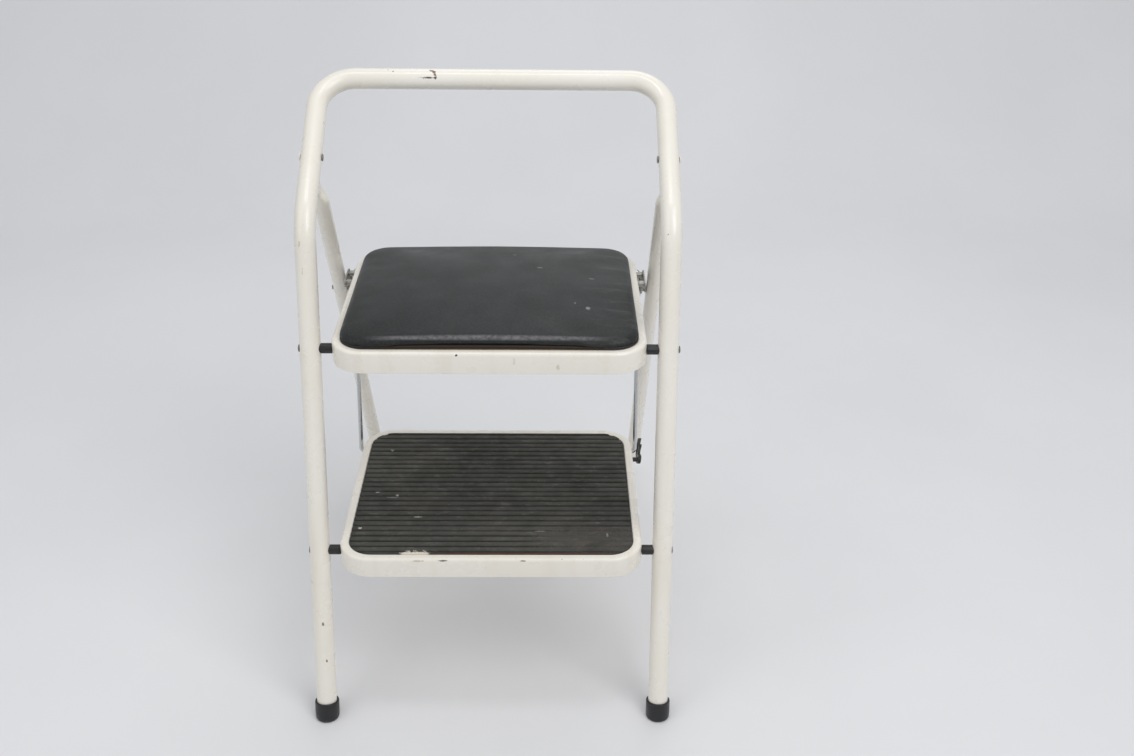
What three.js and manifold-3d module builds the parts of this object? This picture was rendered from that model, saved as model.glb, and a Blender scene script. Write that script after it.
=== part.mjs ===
// Folding step stool chair: an arched tube frame, a hinged rear frame, and a padded
// seat and a ribbed step that swing up together on two side rods.
// Millimetres and degrees. X runs across the stool, +Y towards its back, +Z up.
// The origin is on the floor, under the middle of the whole stool.

import * as THREE from 'three';
import { mergeVertices } from 'three/addons/utils/BufferGeometryUtils.js';
import Module from 'manifold-3d';

const wasm = await Module();
wasm.setup();

// Front frame: one tube bent to an arch, with its upper part leaning further back
const frontTubeDiameter = 25;
const frontTubeWall = 1.2;
const legSpacing = 425;
const legLean = 14.7;
const kinkHeight = 615;
const kinkRadius = 75;
const handleLean = 55.3;
const handleRise = 119.5;
const topCornerRadius = 45;
const tubeEndHeight = 8;

// Rear frame: one tube bent to a U, its ends pressed flat and hinged inside the front tube
const rearTubeDiameter = 20;
const rearTubeWall = 1.2;
const rearLean = 26.95;
const hingeAboveKink = 91;
const rearCornerRadius = 50;
const tongueThickness = 4;
const tongueWidth = 18;
const flattenedWidth = 25;
const tongueLength = 57;
const taperLength = 20;
const studDropDistance = 25.7;
const flatEndShare = 0.5;
const taperShares = [0, 0.25, 0.6, 0.88, 1];

// Folding: how far the seat and step swing up, and the rear frame swings in
const seatFold = 64;
const rearFold = 41.65;

// Seat and step pans: the same pressed tray, pivoted near its front
const panDepth = 298;
const panSkirtHeight = 27;
const panWall = 1.2;
const panCornerRadius = 41;
const panEdgeRadius = 2.4;
const panFrontOverhangLength = 38;
const rimWidth = 11;
const recessCornerRadius = 29;
const recessDepth = 4;
const seatPivotHeight = 470.5;
const seatAboveStep = 247.7;
const pivotDepth = 13.8;

// Seat upholstery: a plywood board under a crowned pad
const boardThickness = 6;
const boardInset = 1;
const padTuckDepth = 0.5;
const padTuckHeight = 1;
const padInset = 8;
const padCornerRadius = 34;
const padEdgeHeight = 15.5;
const padCrownHeight = 21.5;
const padCornerFallShare = 0.4;
const padShoulderRadius = 9;
const padDrawInDepth = 1.6;
const crownShares = [0.82, 0.6, 0.36, 0.14];

// Step mat: ribbed rubber, ribs across the step
const matThickness = 4.4;
const ribPitch = 10.7;
const grooveWidth = 4.2;
const grooveDepth = 1.3;

// Pivots and small hardware
const pivotDiameter = 6;
const pivotHeadDiameter = 9;
const pivotHeadHeight = 1.6;
const dimpleWidth = 18;
const dimpleDepth = 1.6;
const spacerDiameter = 12.5;
const washerDiameter = 9.6;
const washerThickness = 1.2;
const hingeHeadDiameter = 9;
const hingeHeadHeight = 1.8;
const rodDiameter = 6;
const rodBendRadius = 5;
const rodBackDistance = 35;
const rodPanGap = 2.2;
const rodEndLength = 6.5;
const clipDiameter = 9.6;
const clipThickness = 1.2;
const studDiameter = 8;
const studCollarDiameter = 11;
const studCollarLength = 0.8;
const studShankDiameter = 5;
const hookPlateThickness = 1.8;
const hookRivetDiameter = 4;
const hookRivetHeadDiameter = 7.5;
const hookRivetHeadHeight = 1.4;
const hookShoulderDiameter = 8;
const hookFrontRivetDistance = 84.4;
const hookFrontRivetHeight = 4.5;
const hookRearRivetDistance = 56.4;
const hookRearRivetHeight = 4.5;
const hookBarRadius = 6.5;
const hookEyeRadius = 8.5;
const hookNotchLength = 30;
const catchThickness = 4;
const catchEyeRadius = 9.6;
const catchThroatLength = 34;
const catchForkLength = 9;
const catchTipLength = 25;
const catchTipRadius = 1.6;
const catchTailRadius = 6;
const catchRivetBackDistance = 45;
const catchRivetDepth = 21;
const catchLeanShare = 0.4;
const catchBossDiameter = 6.4;
const notchPathShare = 0.125;
const throatPathShare = 0.875;
const screwDiameter = 4;
const screwHeadDiameter = 9;
const screwHeadHeight = 2.4;
const screwLength = 5;
const screwInset = 55;
const screwChamferShare = 0.7;

// Feet
const capDiameter = 30.5;
const capHeight = 23.5;
const capRoundingRadius = 9;
const glideLength = 40;
const glideThickness = 4;
const glideCornerDistance = 6;
const glideGripThickness = 3.2;
const glideOpening = 100;

// Clearances: between touching pieces, for turning pieces, and the overrun of cutters
const touchGap = 0.3;
const runGap = 0.4;
const holeGap = 0.3;
const slotGap = 0.6;
const rodHoleGap = 1;
const overrunLength = 5;

// How finely round shapes are cut
const frontTubeSides = 20;
const rearTubeSides = 16;
const turnedSides = 16;
const rodSides = 12;
const bendSteps = 6;
const cornerSteps = 6;
const edgeSteps = 3;
const headSteps = 4;

const radians = THREE.MathUtils.degToRad;
const half = (size) => size / 2;

// Angles of a quarter turn, from 0, in equal steps
function quarterTurn(steps) {
  return Array.from({ length: steps + 1 }, (_, step) => half(Math.PI) * (step / steps));
}

// Places in the side plane, all worked out from the sizes above
const legUp = new THREE.Vector3(0, Math.sin(radians(legLean)), Math.cos(radians(legLean)));
const handleUp = new THREE.Vector3(0, Math.sin(radians(handleLean)), Math.cos(radians(handleLean)));
const rearDown = new THREE.Vector3(0, Math.sin(radians(rearLean)), -Math.cos(radians(rearLean)));
const frontRadius = half(frontTubeDiameter);
const rearRadius = half(rearTubeDiameter);
const legX = half(legSpacing);
const onLeg = (height) => legUp.clone().multiplyScalar(height / legUp.z);
const kink = onLeg(kinkHeight);
const top = kink.clone().addScaledVector(handleUp, handleRise / handleUp.z);
const rearHinge = kink.clone().addScaledVector(handleUp, hingeAboveKink);
const seatPivot = onLeg(seatPivotHeight);
const stepPivot = onLeg(seatPivotHeight - seatAboveStep);
const studDistance = (rearHinge.z - seatPivotHeight + studDropDistance) / -rearDown.z;
const stud = rearHinge.clone().addScaledVector(rearDown, studDistance);
const sideAxis = new THREE.Vector3(1, 0, 0);
const turnSide = (point, degrees) => point.clone().applyAxisAngle(sideAxis, radians(degrees));
const foldedStud = turnSide(stud.clone().sub(rearHinge), -rearFold).add(rearHinge);

// Places across the gap between a pan's side wall and the leg, from the pan outwards
const rodFromPan = rodPanGap + half(rodDiameter);
const plateFromPan = rodPanGap + rodDiameter + runGap;
const headRun = 3 * touchGap;
const panSideGap = plateFromPan + hookPlateThickness + headRun + hingeHeadHeight + touchGap;
const panHalfWidth = legX - frontRadius - panSideGap;
const rodX = panHalfWidth + rodFromPan;
const plateX = panHalfWidth + plateFromPan;
const studTipX = rodX + half(rodDiameter) + touchGap;
const wallInnerX = panHalfWidth - panWall;
const panRearY = panDepth - panFrontOverhangLength;

// How far a pan's side wall has curved in at a place between its front and its back
function cornerInset(y) {
  const fromEnd = Math.min(y + panFrontOverhangLength, panRearY - y);
  const into = Math.max(panCornerRadius - fromEnd, 0);
  return panCornerRadius - Math.sqrt(panCornerRadius ** 2 - into ** 2);
}

// The inner face of a side wall behind a round fitting
function faceBehind(y, radius) {
  return wallInnerX - Math.max(cornerInset(y - radius), cornerInset(y + radius)) - touchGap;
}

const paint = { color: 0xe6e1d4, roughness: 0.32, metalness: 0 };
const vinyl = { color: 0x3a3d3e, roughness: 0.5, metalness: 0 };
const rubber = { color: 0x2b2a28, roughness: 0.85, metalness: 0 };
const plastic = { color: 0x1d1e1f, roughness: 0.45, metalness: 0 };
const chrome = { color: 0xc9cac8, roughness: 0.15, metalness: 1 };
const zinc = { color: 0xa9aaa6, roughness: 0.4, metalness: 1 };
const plywood = { color: 0xb08c5e, roughness: 0.75, metalness: 0 };

// Closed mesh to solid, and back: shared corners are merged and slivers dropped
function solidOf(geometry) {
  const bare = geometry.clone();
  bare.deleteAttribute('normal');
  bare.deleteAttribute('uv');
  const merged = mergeVertices(bare);
  const corners = merged.index.array;
  const kept = [];
  for (let i = 0; i < corners.length; i += 3) {
    const [a, b, c] = corners.slice(i, i + 3);
    if (a !== b && b !== c && c !== a) {
      kept.push(a, b, c);
    }
  }
  return new wasm.Manifold(new wasm.Mesh({
    numProp: 3,
    vertProperties: merged.attributes.position.array,
    triVerts: new Uint32Array(kept),
  }));
}

function geometryOf(solid) {
  const mesh = solid.getMesh();
  const geometry = new THREE.BufferGeometry();
  geometry.setAttribute('position', new THREE.BufferAttribute(mesh.vertProperties, 3));
  geometry.setIndex(new THREE.BufferAttribute(mesh.triVerts, 1));
  geometry.computeVertexNormals();
  return geometry;
}

const joined = (solids) => solids.reduce((whole, solid) => whole.add(solid));
const cut = (solid, cutters) => cutters.reduce((left, cutter) => left.subtract(cutter), solid);

function piece(name, look, solid) {
  const mesh = new THREE.Mesh(geometryOf(solid), new THREE.MeshStandardMaterial(look));
  mesh.name = name;
  return mesh;
}

function groupAt(position, members) {
  const group = new THREE.Group();
  group.position.copy(position);
  group.add(...members);
  return group;
}

// A route given by its own stations, so that straight runs need no extra steps
class StationPath extends THREE.Curve {
  constructor(stations) {
    super();
    this.stations = stations;
  }

  get steps() {
    return this.stations.length - 1;
  }

  getPoint(share, target = new THREE.Vector3()) {
    return target.copy(this.stations[Math.round(share * this.steps)].point);
  }

  getPointAt(share, target) {
    return this.getPoint(share, target);
  }

  getTangentAt(share, target = new THREE.Vector3()) {
    return target.copy(this.stations[Math.round(share * this.steps)].along);
  }

  getSpacedPoints() {
    return this.stations.map((station) => station.point.clone());
  }
}

// Corner points joined by straight runs, with a circular bend at each inner corner
function bentPath(corners, radii) {
  const direction = (from, to) => to.clone().sub(from).normalize();
  const first = direction(corners[0], corners[1]);
  const stations = [{ point: corners[0], along: first }];
  radii.forEach((radius, i) => {
    const corner = corners[i + 1];
    const arriving = direction(corners[i], corner);
    const leaving = direction(corner, corners[i + 2]);
    const turn = arriving.angleTo(leaving);
    const inward = leaving.clone().addScaledVector(arriving, -arriving.dot(leaving)).normalize();
    const start = corner.clone().addScaledVector(arriving, -radius * Math.tan(turn / 2));
    const centre = start.clone().addScaledVector(inward, radius);
    for (let step = 0; step <= bendSteps; step += 1) {
      const angle = (turn * step) / bendSteps;
      const point = centre.clone().addScaledVector(inward, -radius * Math.cos(angle));
      point.addScaledVector(arriving, radius * Math.sin(angle));
      const along = arriving.clone().multiplyScalar(Math.cos(angle));
      along.addScaledVector(inward, Math.sin(angle));
      stations.push({ point, along });
    }
  });
  const last = corners.length - 1;
  stations.push({ point: corners[last], along: direction(corners[last - 1], corners[last]) });
  return new StationPath(stations);
}

function circle(radius, sides) {
  const points = [];
  for (let i = 0; i < sides; i += 1) {
    const angle = (2 * Math.PI * i) / sides;
    points.push(new THREE.Vector2(radius * Math.cos(angle), radius * Math.sin(angle)));
  }
  return points;
}

function roundBar(path, radius, sides) {
  const settings = { steps: path.steps, bevelEnabled: false, extrudePath: path };
  return solidOf(new THREE.ExtrudeGeometry(new THREE.Shape(circle(radius, sides)), settings));
}

// A solid turned about X: profile points are radius and place along X
function turnedAboutX(profile, sides = turnedSides) {
  const points = profile.map(([radius, along]) => new THREE.Vector2(radius, along));
  const geometry = new THREE.LatheGeometry(points, sides);
  geometry.rotateZ(-Math.PI / 2);
  return solidOf(geometry);
}

function crossPin(radius, fromX, toX, y, z, sides = turnedSides) {
  const pin = turnedAboutX([[0, fromX], [radius, fromX], [radius, toX], [0, toX]], sides);
  return pin.translate([0, y, z]);
}

function ringAboutX(outerRadius, innerRadius, fromX, toX) {
  const rim = [[innerRadius, fromX], [outerRadius, fromX], [outerRadius, toX], [innerRadius, toX]];
  return turnedAboutX([...rim, rim[0]]);
}

// Domed head: points from its edge to its crown
function domed(radius, base, height) {
  return quarterTurn(headSteps).map((angle) => [radius * Math.cos(angle), base + height * Math.sin(angle)]);
}

// Rivet along X between two head seats
function rivetAboutX(shankRadius, headRadius, headHeight, innerX, outerX) {
  const innerHead = domed(headRadius, innerX, -headHeight).reverse();
  const outerHead = domed(headRadius, outerX, headHeight);
  return turnedAboutX([...innerHead, [shankRadius, innerX], [shankRadius, outerX], ...outerHead]);
}

// Flat bar with round ends, drawn in the side plane and given a thickness along X
function sideBar(from, fromRadius, to, toRadius, innerX, thickness) {
  const gap = to.clone().sub(from);
  const heading = Math.atan2(gap.z, gap.y);
  const reach = Math.hypot(gap.y, gap.z);
  const swing = Math.acos(THREE.MathUtils.clamp((fromRadius - toRadius) / reach, -1, 1));
  const outline = [];
  const addArc = (centre, radius, start, sweep) => {
    for (let step = 0; step <= cornerSteps; step += 1) {
      const angle = start + (sweep * step) / cornerSteps;
      const y = centre.y + radius * Math.cos(angle);
      const z = centre.z + radius * Math.sin(angle);
      outline.push(new THREE.Vector2(y, z));
    }
  };
  addArc(to, toRadius, heading - swing, 2 * swing);
  addArc(from, fromRadius, heading + swing, 2 * (Math.PI - swing));
  const settings = { depth: thickness, bevelEnabled: false };
  const geometry = new THREE.ExtrudeGeometry(new THREE.Shape(outline), settings);
  const place = new THREE.Matrix4().makeBasis(
    new THREE.Vector3(0, 1, 0),
    new THREE.Vector3(0, 0, 1),
    new THREE.Vector3(1, 0, 0),
  );
  geometry.applyMatrix4(place);
  geometry.translate(innerX, 0, 0);
  return solidOf(geometry);
}

// Solid lofted through closed rings of points, each ring with as many points
function lofted(rings) {
  const count = rings[0].length;
  const positions = rings.flat().flatMap((point) => [point.x, point.y, point.z]);
  const triangles = [];
  for (let ring = 0; ring < rings.length - 1; ring += 1) {
    for (let i = 0; i < count; i += 1) {
      const here = ring * count + i;
      const next = ring * count + ((i + 1) % count);
      triangles.push(here, next, next + count, here, next + count, here + count);
    }
  }
  const addEnd = (ring, offset, outward) => {
    const centre = new THREE.Vector3();
    ring.forEach((point) => centre.addScaledVector(point, 1 / count));
    const hub = positions.length / 3;
    positions.push(centre.x, centre.y, centre.z);
    for (let i = 0; i < count; i += 1) {
      const here = offset + i;
      const next = offset + ((i + 1) % count);
      triangles.push(...(outward ? [hub, here, next] : [hub, next, here]));
    }
  };
  addEnd(rings[0], 0, false);
  addEnd(rings[rings.length - 1], (rings.length - 1) * count, true);
  const geometry = new THREE.BufferGeometry();
  geometry.setAttribute('position', new THREE.Float32BufferAttribute(positions, 3));
  geometry.setIndex(triangles);
  return solidOf(geometry);
}

// Pan outline seen from above, counter-clockwise, its pivot line at y = 0
function panOutline(inset, radius) {
  const x = panHalfWidth - inset - radius;
  const front = -panFrontOverhangLength + inset + radius;
  const back = panRearY - inset - radius;
  const corners = [[x, back, 0], [-x, back, 1], [-x, front, 2], [x, front, 3]];
  const points = [];
  corners.forEach(([centreX, centreY, quarter]) => {
    for (let step = 0; step <= cornerSteps; step += 1) {
      const angle = (Math.PI / 2) * (quarter + step / cornerSteps);
      points.push(new THREE.Vector2(centreX + radius * Math.cos(angle), centreY + radius * Math.sin(angle)));
    }
  });
  return points;
}

// Slab through levels of inset and height, with the corners of the skirt or of the recess
function slab(levels, cornerAt) {
  const ring = ([inset, z]) => panOutline(inset, cornerAt(inset)).map((p) => new THREE.Vector3(p.x, p.y, z));
  return lofted(levels.map(ring));
}

const skirtSlab = (levels) => slab(levels, (inset) => panCornerRadius - inset);
const recessSlab = (levels) => slab(levels, (inset) => recessCornerRadius - inset + rimWidth);

const panMiddleY = half(panDepth) - panFrontOverhangLength;

// Pressed tray: a rim round a shallow recess, with a skirt turned down all round
function panSolid() {
  const rimTop = pivotDepth;
  const bottom = rimTop - panSkirtHeight;
  const edge = quarterTurn(edgeSteps).map((angle) => [
    panEdgeRadius * (1 - Math.cos(angle)),
    rimTop - panEdgeRadius * (1 - Math.sin(angle)),
  ]);
  const outside = skirtSlab([[0, bottom], ...edge]);
  const plateTop = rimTop - recessDepth;
  const recess = recessSlab([[rimWidth, plateTop], [rimWidth, rimTop + overrunLength]]);
  const below = skirtSlab([[panWall, bottom - overrunLength], [panWall, plateTop - panWall]]);
  const underRim = skirtSlab([
    [panWall, bottom - overrunLength],
    [panWall, rimTop - panEdgeRadius],
    [panEdgeRadius, rimTop - panWall],
  ]);
  const recessBack = recessSlab([
    [rimWidth - panWall, bottom - 2 * overrunLength],
    [rimWidth - panWall, rimTop],
  ]);
  return cut(outside, [recess, below, underRim.subtract(recessBack)]);
}

// Holes through both side walls of a pan, stopping short of its recess
function sideHoles(radius, y, z) {
  const hole = crossPin(radius, wallInnerX - overrunLength, legX, y, z, rodSides);
  return hole.add(hole.mirror([1, 0, 0]));
}

function frontFrame() {
  const corners = [-1, 1].map((side) => {
    const at = (point) => new THREE.Vector3(side * legX, point.y, point.z);
    return [at(onLeg(tubeEndHeight)), at(kink), at(top)];
  });
  const route = [...corners[0], ...corners[1].reverse()];
  const path = bentPath(route, [kinkRadius, topCornerRadius, topCornerRadius, kinkRadius]);
  const outer = roundBar(path, frontRadius, frontTubeSides);
  const bore = boreAlong(path, frontRadius - frontTubeWall, frontTubeSides);
  const reach = legX + frontTubeDiameter;
  const through = (radius, point) => crossPin(radius, -reach, reach, point.y, point.z, rodSides);
  const pinHole = half(pivotDiameter) + holeGap;
  const holes = [seatPivot, stepPivot, rearHinge].map((point) => through(pinHole, point));
  const dimples = [dimple(-1, 0), dimple(1, 0)];
  const hollow = cut(bore, [dimple(-1, frontTubeWall), dimple(1, frontTubeWall)]);
  return cut(outer, [hollow, ...dimples, ...holes, tongueSlot(-1), tongueSlot(1)]);
}

// A shallow round dimple in the outer side of a leg, where the step's rivet is set, moved in by an inset
const dimpleRadius = (half(dimpleWidth) ** 2 + dimpleDepth ** 2) / (2 * dimpleDepth);
const dimpleRise = (radius) => dimpleRadius - Math.sqrt(dimpleRadius ** 2 - radius ** 2);
const dimpleFloor = legX + frontRadius - dimpleDepth;

function dimple(side, inset) {
  const floor = dimpleFloor - inset;
  const profile = [];
  for (let step = 0; step <= cornerSteps; step += 1) {
    const radius = half(dimpleWidth) * (step / cornerSteps);
    profile.push([radius, floor + dimpleRise(radius)]);
  }
  const outside = floor + overrunLength;
  const cap = turnedAboutX([...profile, [half(dimpleWidth), outside], [0, outside]]);
  const placed = cap.translate([0, stepPivot.y, stepPivot.z]);
  return side < 0 ? placed.mirror([1, 0, 0]) : placed;
}

// The inside of a tube, run on past both of its ends
function boreAlong(path, radius, sides) {
  const { stations } = path;
  const beyond = ({ point, along }, distance) => {
    return { point: point.clone().addScaledVector(along, distance), along };
  };
  const before = beyond(stations[0], -overrunLength);
  const after = beyond(stations[stations.length - 1], overrunLength);
  return roundBar(new StationPath([before, ...stations, after]), radius, sides);
}

// Slot in the underside of the front tube, as long as the tongue needs from open to folded
function tongueSlot(side) {
  const width = tongueThickness + 2 * slotGap;
  const openAngle = rearDown.angleTo(handleUp.clone().negate());
  const foldedAngle = openAngle - radians(rearFold);
  const widthAt = (share) => THREE.MathUtils.lerp(tongueWidth, flattenedWidth, share);
  const edgeAt = (distance) => half(widthAt(distance / tongueLength));
  const reach = (angle, way) => {
    const edge = edgeAt((frontRadius + half(tongueWidth)) / Math.sin(angle));
    return frontRadius / Math.tan(angle) + (way * edge) / Math.sin(angle);
  };
  const upper = reach(openAngle, -1) - slotGap;
  const lower = reach(foldedAngle, 1) + slotGap;
  const depth = frontTubeDiameter;
  const box = new THREE.BoxGeometry(width, lower - upper, depth);
  box.translate(0, half(lower + upper), half(frontRadius) + half(depth));
  const under = new THREE.Vector3(0, handleUp.z, -handleUp.y);
  const place = new THREE.Matrix4().makeBasis(new THREE.Vector3(1, 0, 0), handleUp.clone().negate(), under);
  place.setPosition(side * legX, rearHinge.y, rearHinge.z);
  box.applyMatrix4(place);
  return solidOf(box);
}

function footCap() {
  const bore = frontRadius + touchGap;
  const outer = half(capDiameter);
  const tubeEnd = tubeEndHeight / legUp.z;
  const rounding = [];
  for (let step = 0; step <= cornerSteps; step += 1) {
    const angle = (Math.PI / 2) * (step / cornerSteps);
    const radius = outer - capRoundingRadius * (1 - Math.sin(angle));
    rounding.push([radius, capRoundingRadius * (1 - Math.cos(angle)) - half(capRoundingRadius)]);
  }
  const base = -half(capRoundingRadius);
  const pocket = tubeEnd - touchGap;
  const collar = [[outer, capHeight], [bore, capHeight], [bore, pocket], [0, pocket]];
  const profile = [[0, base], ...rounding, ...collar];
  const points = profile.map(([radius, height]) => new THREE.Vector2(radius, height));
  const geometry = new THREE.LatheGeometry(points, turnedSides);
  geometry.rotateX(half(Math.PI) - radians(legLean));
  const floorCut = new THREE.BoxGeometry(2 * capDiameter, 2 * capDiameter, capDiameter);
  floorCut.translate(0, 0, -half(capDiameter));
  return solidOf(geometry).subtract(solidOf(floorCut));
}

// Section of the rear tube: round where share is 1, pressed flat where it is 0
function rearSection(station, share) {
  const thick = THREE.MathUtils.lerp(half(tongueThickness), rearRadius, share);
  const wide = THREE.MathUtils.lerp(half(flattenedWidth), rearRadius, share);
  const squareness = THREE.MathUtils.lerp(flatEndShare, 1, share);
  const across = new THREE.Vector3(1, 0, 0);
  const other = new THREE.Vector3().crossVectors(station.along, across);
  return circle(1, rearTubeSides).map((unit) => {
    const shaped = (value) => Math.sign(value) * Math.abs(value) ** squareness;
    const point = station.point.clone().addScaledVector(across, thick * shaped(unit.x));
    return point.addScaledVector(other, wide * shaped(unit.y));
  });
}

const barHeight = glideThickness + rearRadius;
const barDrop = (rearHinge.z - barHeight) / -rearDown.z;

// Rear frame, in places counted from its hinge line
function rearFrame() {
  const tongueEnd = tongueLength + taperLength;
  const at = (side, distance) => {
    const point = rearDown.clone().multiplyScalar(distance);
    point.x = side * legX;
    return point;
  };
  const route = [at(-1, tongueEnd), at(-1, barDrop), at(1, barDrop), at(1, tongueEnd)];
  const path = bentPath(route, [rearCornerRadius, rearCornerRadius]);
  const tube = roundBar(path, rearRadius, rearTubeSides);
  const boreEnd = tongueEnd + overrunLength;
  const innerRoute = [at(-1, boreEnd), ...route.slice(1, -1), at(1, boreEnd)];
  const innerPath = bentPath(innerRoute, [rearCornerRadius, rearCornerRadius]);
  const bore = roundBar(innerPath, rearRadius - rearTubeWall, rearTubeSides);
  const ends = [-1, 1].flatMap((side) => {
    const ringAt = (distance, share) => rearSection({ point: at(side, distance), along: rearDown }, share);
    const lastStep = taperShares.length - 1;
    const taper = taperShares.map((share, i) => ringAt(tongueLength + taperLength * (i / lastStep), share));
    const rings = [ringAt(tongueLength - overrunLength, 0), ...taper, ringAt(tongueEnd + touchGap, 1)];
    const innerX = side * legX - half(tongueThickness);
    const far = half(flattenedWidth);
    const neck = sideBar(at(0, 0), half(tongueWidth), at(0, tongueLength), far, innerX, tongueThickness);
    return [lofted(rings), neck];
  });
  const whole = joined([tube, ...ends]);
  const reach = legX + rearTubeDiameter;
  const pinHole = crossPin(half(pivotDiameter) + holeGap, -reach, reach, 0, 0, rodSides);
  const studPlace = stud.clone().sub(rearHinge);
  const studHole = crossPin(
    half(studShankDiameter) + holeGap,
    -reach,
    reach,
    studPlace.y,
    studPlace.z,
    rodSides,
  );
  return cut(whole, [bore, pinHole, studHole]);
}

// Snap-on glide: a C-shaped sleeve round the floor bar, flat below
function glide() {
  const bore = rearRadius + touchGap;
  const outer = bore + glideGripThickness;
  const opening = half(radians(glideOpening));
  const upright = Math.PI / 2;
  const steps = 3 * cornerSteps;
  const start = upright + opening;
  const sweep = 2 * (Math.PI - opening);
  const arcPoint = (radius, share) => {
    const angle = start + sweep * share;
    return new THREE.Vector2(radius * Math.cos(angle), Math.max(radius * Math.sin(angle), -barHeight));
  };
  const outline = [];
  for (let step = 0; step <= steps; step += 1) {
    const point = arcPoint(outer, step / steps);
    const low = step > steps / 3 && step < (2 * steps) / 3;
    outline.push(low ? new THREE.Vector2(point.x, -barHeight) : point);
  }
  for (let step = steps; step >= 0; step -= 1) {
    outline.push(arcPoint(bore, step / steps));
  }
  const settings = { depth: glideLength, bevelEnabled: false };
  const geometry = new THREE.ExtrudeGeometry(new THREE.Shape(outline), settings);
  geometry.translate(0, 0, -half(glideLength));
  const place = new THREE.Matrix4().makeBasis(
    new THREE.Vector3(0, 1, 0),
    new THREE.Vector3(0, 0, 1),
    new THREE.Vector3(1, 0, 0),
  );
  geometry.applyMatrix4(place);
  return solidOf(geometry);
}

// Sleeve between a pan and the leg, its outer end hollowed to fit the round tube
function spacer(side, lean) {
  const inner = panHalfWidth + touchGap;
  const outer = legX - frontRadius + half(half(spacerDiameter));
  const ends = [side * inner, side * outer].sort((a, b) => a - b);
  const sleeve = ringAboutX(half(spacerDiameter), half(pivotDiameter) + holeGap, ends[0], ends[1]);
  const reach = spacerDiameter;
  const middle = new THREE.Vector3(side * legX, 0, 0);
  const run = [-reach, reach].map((along) => middle.clone().addScaledVector(lean, along));
  const tube = roundBar(bentPath(run, []), frontRadius + touchGap, 2 * frontTubeSides);
  return sleeve.subtract(tube);
}

const pivotInnerX = faceBehind(0, half(washerDiameter)) - washerThickness - touchGap;
const legOuterX = legX + frontRadius + touchGap;
const dimpledOuterX = dimpleFloor + dimpleRise(half(pivotHeadDiameter)) + touchGap;

function sidePieces(side) {
  const word = side < 0 ? 'left' : 'right';
  const mirrored = (solid) => (side < 0 ? solid.mirror([1, 0, 0]) : solid);
  const pivotRivet = (outerX) => mirrored(
    rivetAboutX(half(pivotDiameter), half(pivotHeadDiameter), pivotHeadHeight, pivotInnerX, outerX),
  );
  const hingeRivet = mirrored(rivetAboutX(
    half(pivotDiameter),
    half(hingeHeadDiameter),
    hingeHeadHeight,
    legX - frontRadius - touchGap,
    legOuterX,
  ));
  return [
    groupAt(seatPivot, [
      piece(`seat_pivot_rivet_${word}`, zinc, pivotRivet(legOuterX)),
      piece(`seat_spacer_${word}`, plastic, spacer(side, legUp)),
    ]),
    groupAt(stepPivot, [
      piece(`step_pivot_rivet_${word}`, zinc, pivotRivet(dimpledOuterX)),
      piece(`step_spacer_${word}`, plastic, spacer(side, legUp)),
    ]),
    groupAt(rearHinge, [piece(`rear_hinge_rivet_${word}`, zinc, hingeRivet)]),
    groupAt(new THREE.Vector3(side * legX, 0, 0), [piece(`foot_cap_${word}`, plastic, footCap())]),
  ];
}

function rearSidePieces(side) {
  const word = side < 0 ? 'left' : 'right';
  const mirrored = (solid) => (side < 0 ? solid.mirror([1, 0, 0]) : solid);
  const bar = rearDown.clone().multiplyScalar(barDrop);
  const glideX = legX - rearCornerRadius - glideCornerDistance - half(glideLength);
  const tubeInner = legX - rearRadius - touchGap;
  const tubeOuter = legX + rearRadius + touchGap;
  const collarFace = tubeInner - studCollarLength;
  const studSolid = turnedAboutX([
    [0, studTipX],
    [half(studDiameter) - touchGap, studTipX],
    [half(studDiameter), studTipX + touchGap],
    [half(studDiameter), collarFace],
    [half(studCollarDiameter), collarFace],
    [half(studCollarDiameter), tubeInner],
    [half(studShankDiameter), tubeInner],
    [half(studShankDiameter), tubeOuter],
    ...domed(half(hookRivetHeadDiameter), tubeOuter, hookRivetHeadHeight),
  ]);
  const studPlace = stud.clone().sub(rearHinge);
  return [
    groupAt(new THREE.Vector3(side * glideX, bar.y, bar.z), [piece(`rear_glide_${word}`, plastic, glide())]),
    groupAt(studPlace, [piece(`seat_stud_${word}`, chrome, mirrored(studSolid))]),
  ];
}

// Seat hook: a plate that drops over the rear leg's stud, its notch open down and forwards
const seatStud = stud.clone().sub(seatPivot);
const leavingStud = turnSide(stud.clone().sub(rearHinge), -rearFold * notchPathShare).add(rearHinge);
const studLeaves = turnSide(leavingStud.sub(seatPivot), -seatFold * notchPathShare);
const notchAlong = studLeaves.clone().sub(seatStud).normalize();
const hookFront = new THREE.Vector3(0, panRearY - hookFrontRivetDistance, hookFrontRivetHeight);
const hookRear = new THREE.Vector3(0, panRearY - hookRearRivetDistance, hookRearRivetHeight);

function hookPlate() {
  const bar = sideBar(hookFront, hookBarRadius, hookRear, hookBarRadius, plateX, hookPlateThickness);
  const arm = sideBar(hookRear, hookBarRadius, seatStud, hookEyeRadius, plateX, hookPlateThickness);
  const plate = joined([bar, arm]);
  const notchRadius = half(studDiameter) + slotGap;
  const notchEnd = seatStud.clone().addScaledVector(notchAlong, hookNotchLength);
  const fromX = plateX - overrunLength;
  const toX = plateX + overrunLength;
  const notch = sideBar(seatStud, notchRadius, notchEnd, notchRadius, fromX, toX - fromX);
  const rivetHole = half(hookRivetDiameter) + holeGap;
  const holes = [hookFront, hookRear].map((p) => crossPin(rivetHole, fromX, toX, p.y, p.z, rodSides));
  return cut(plate, [notch, ...holes]);
}

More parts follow.
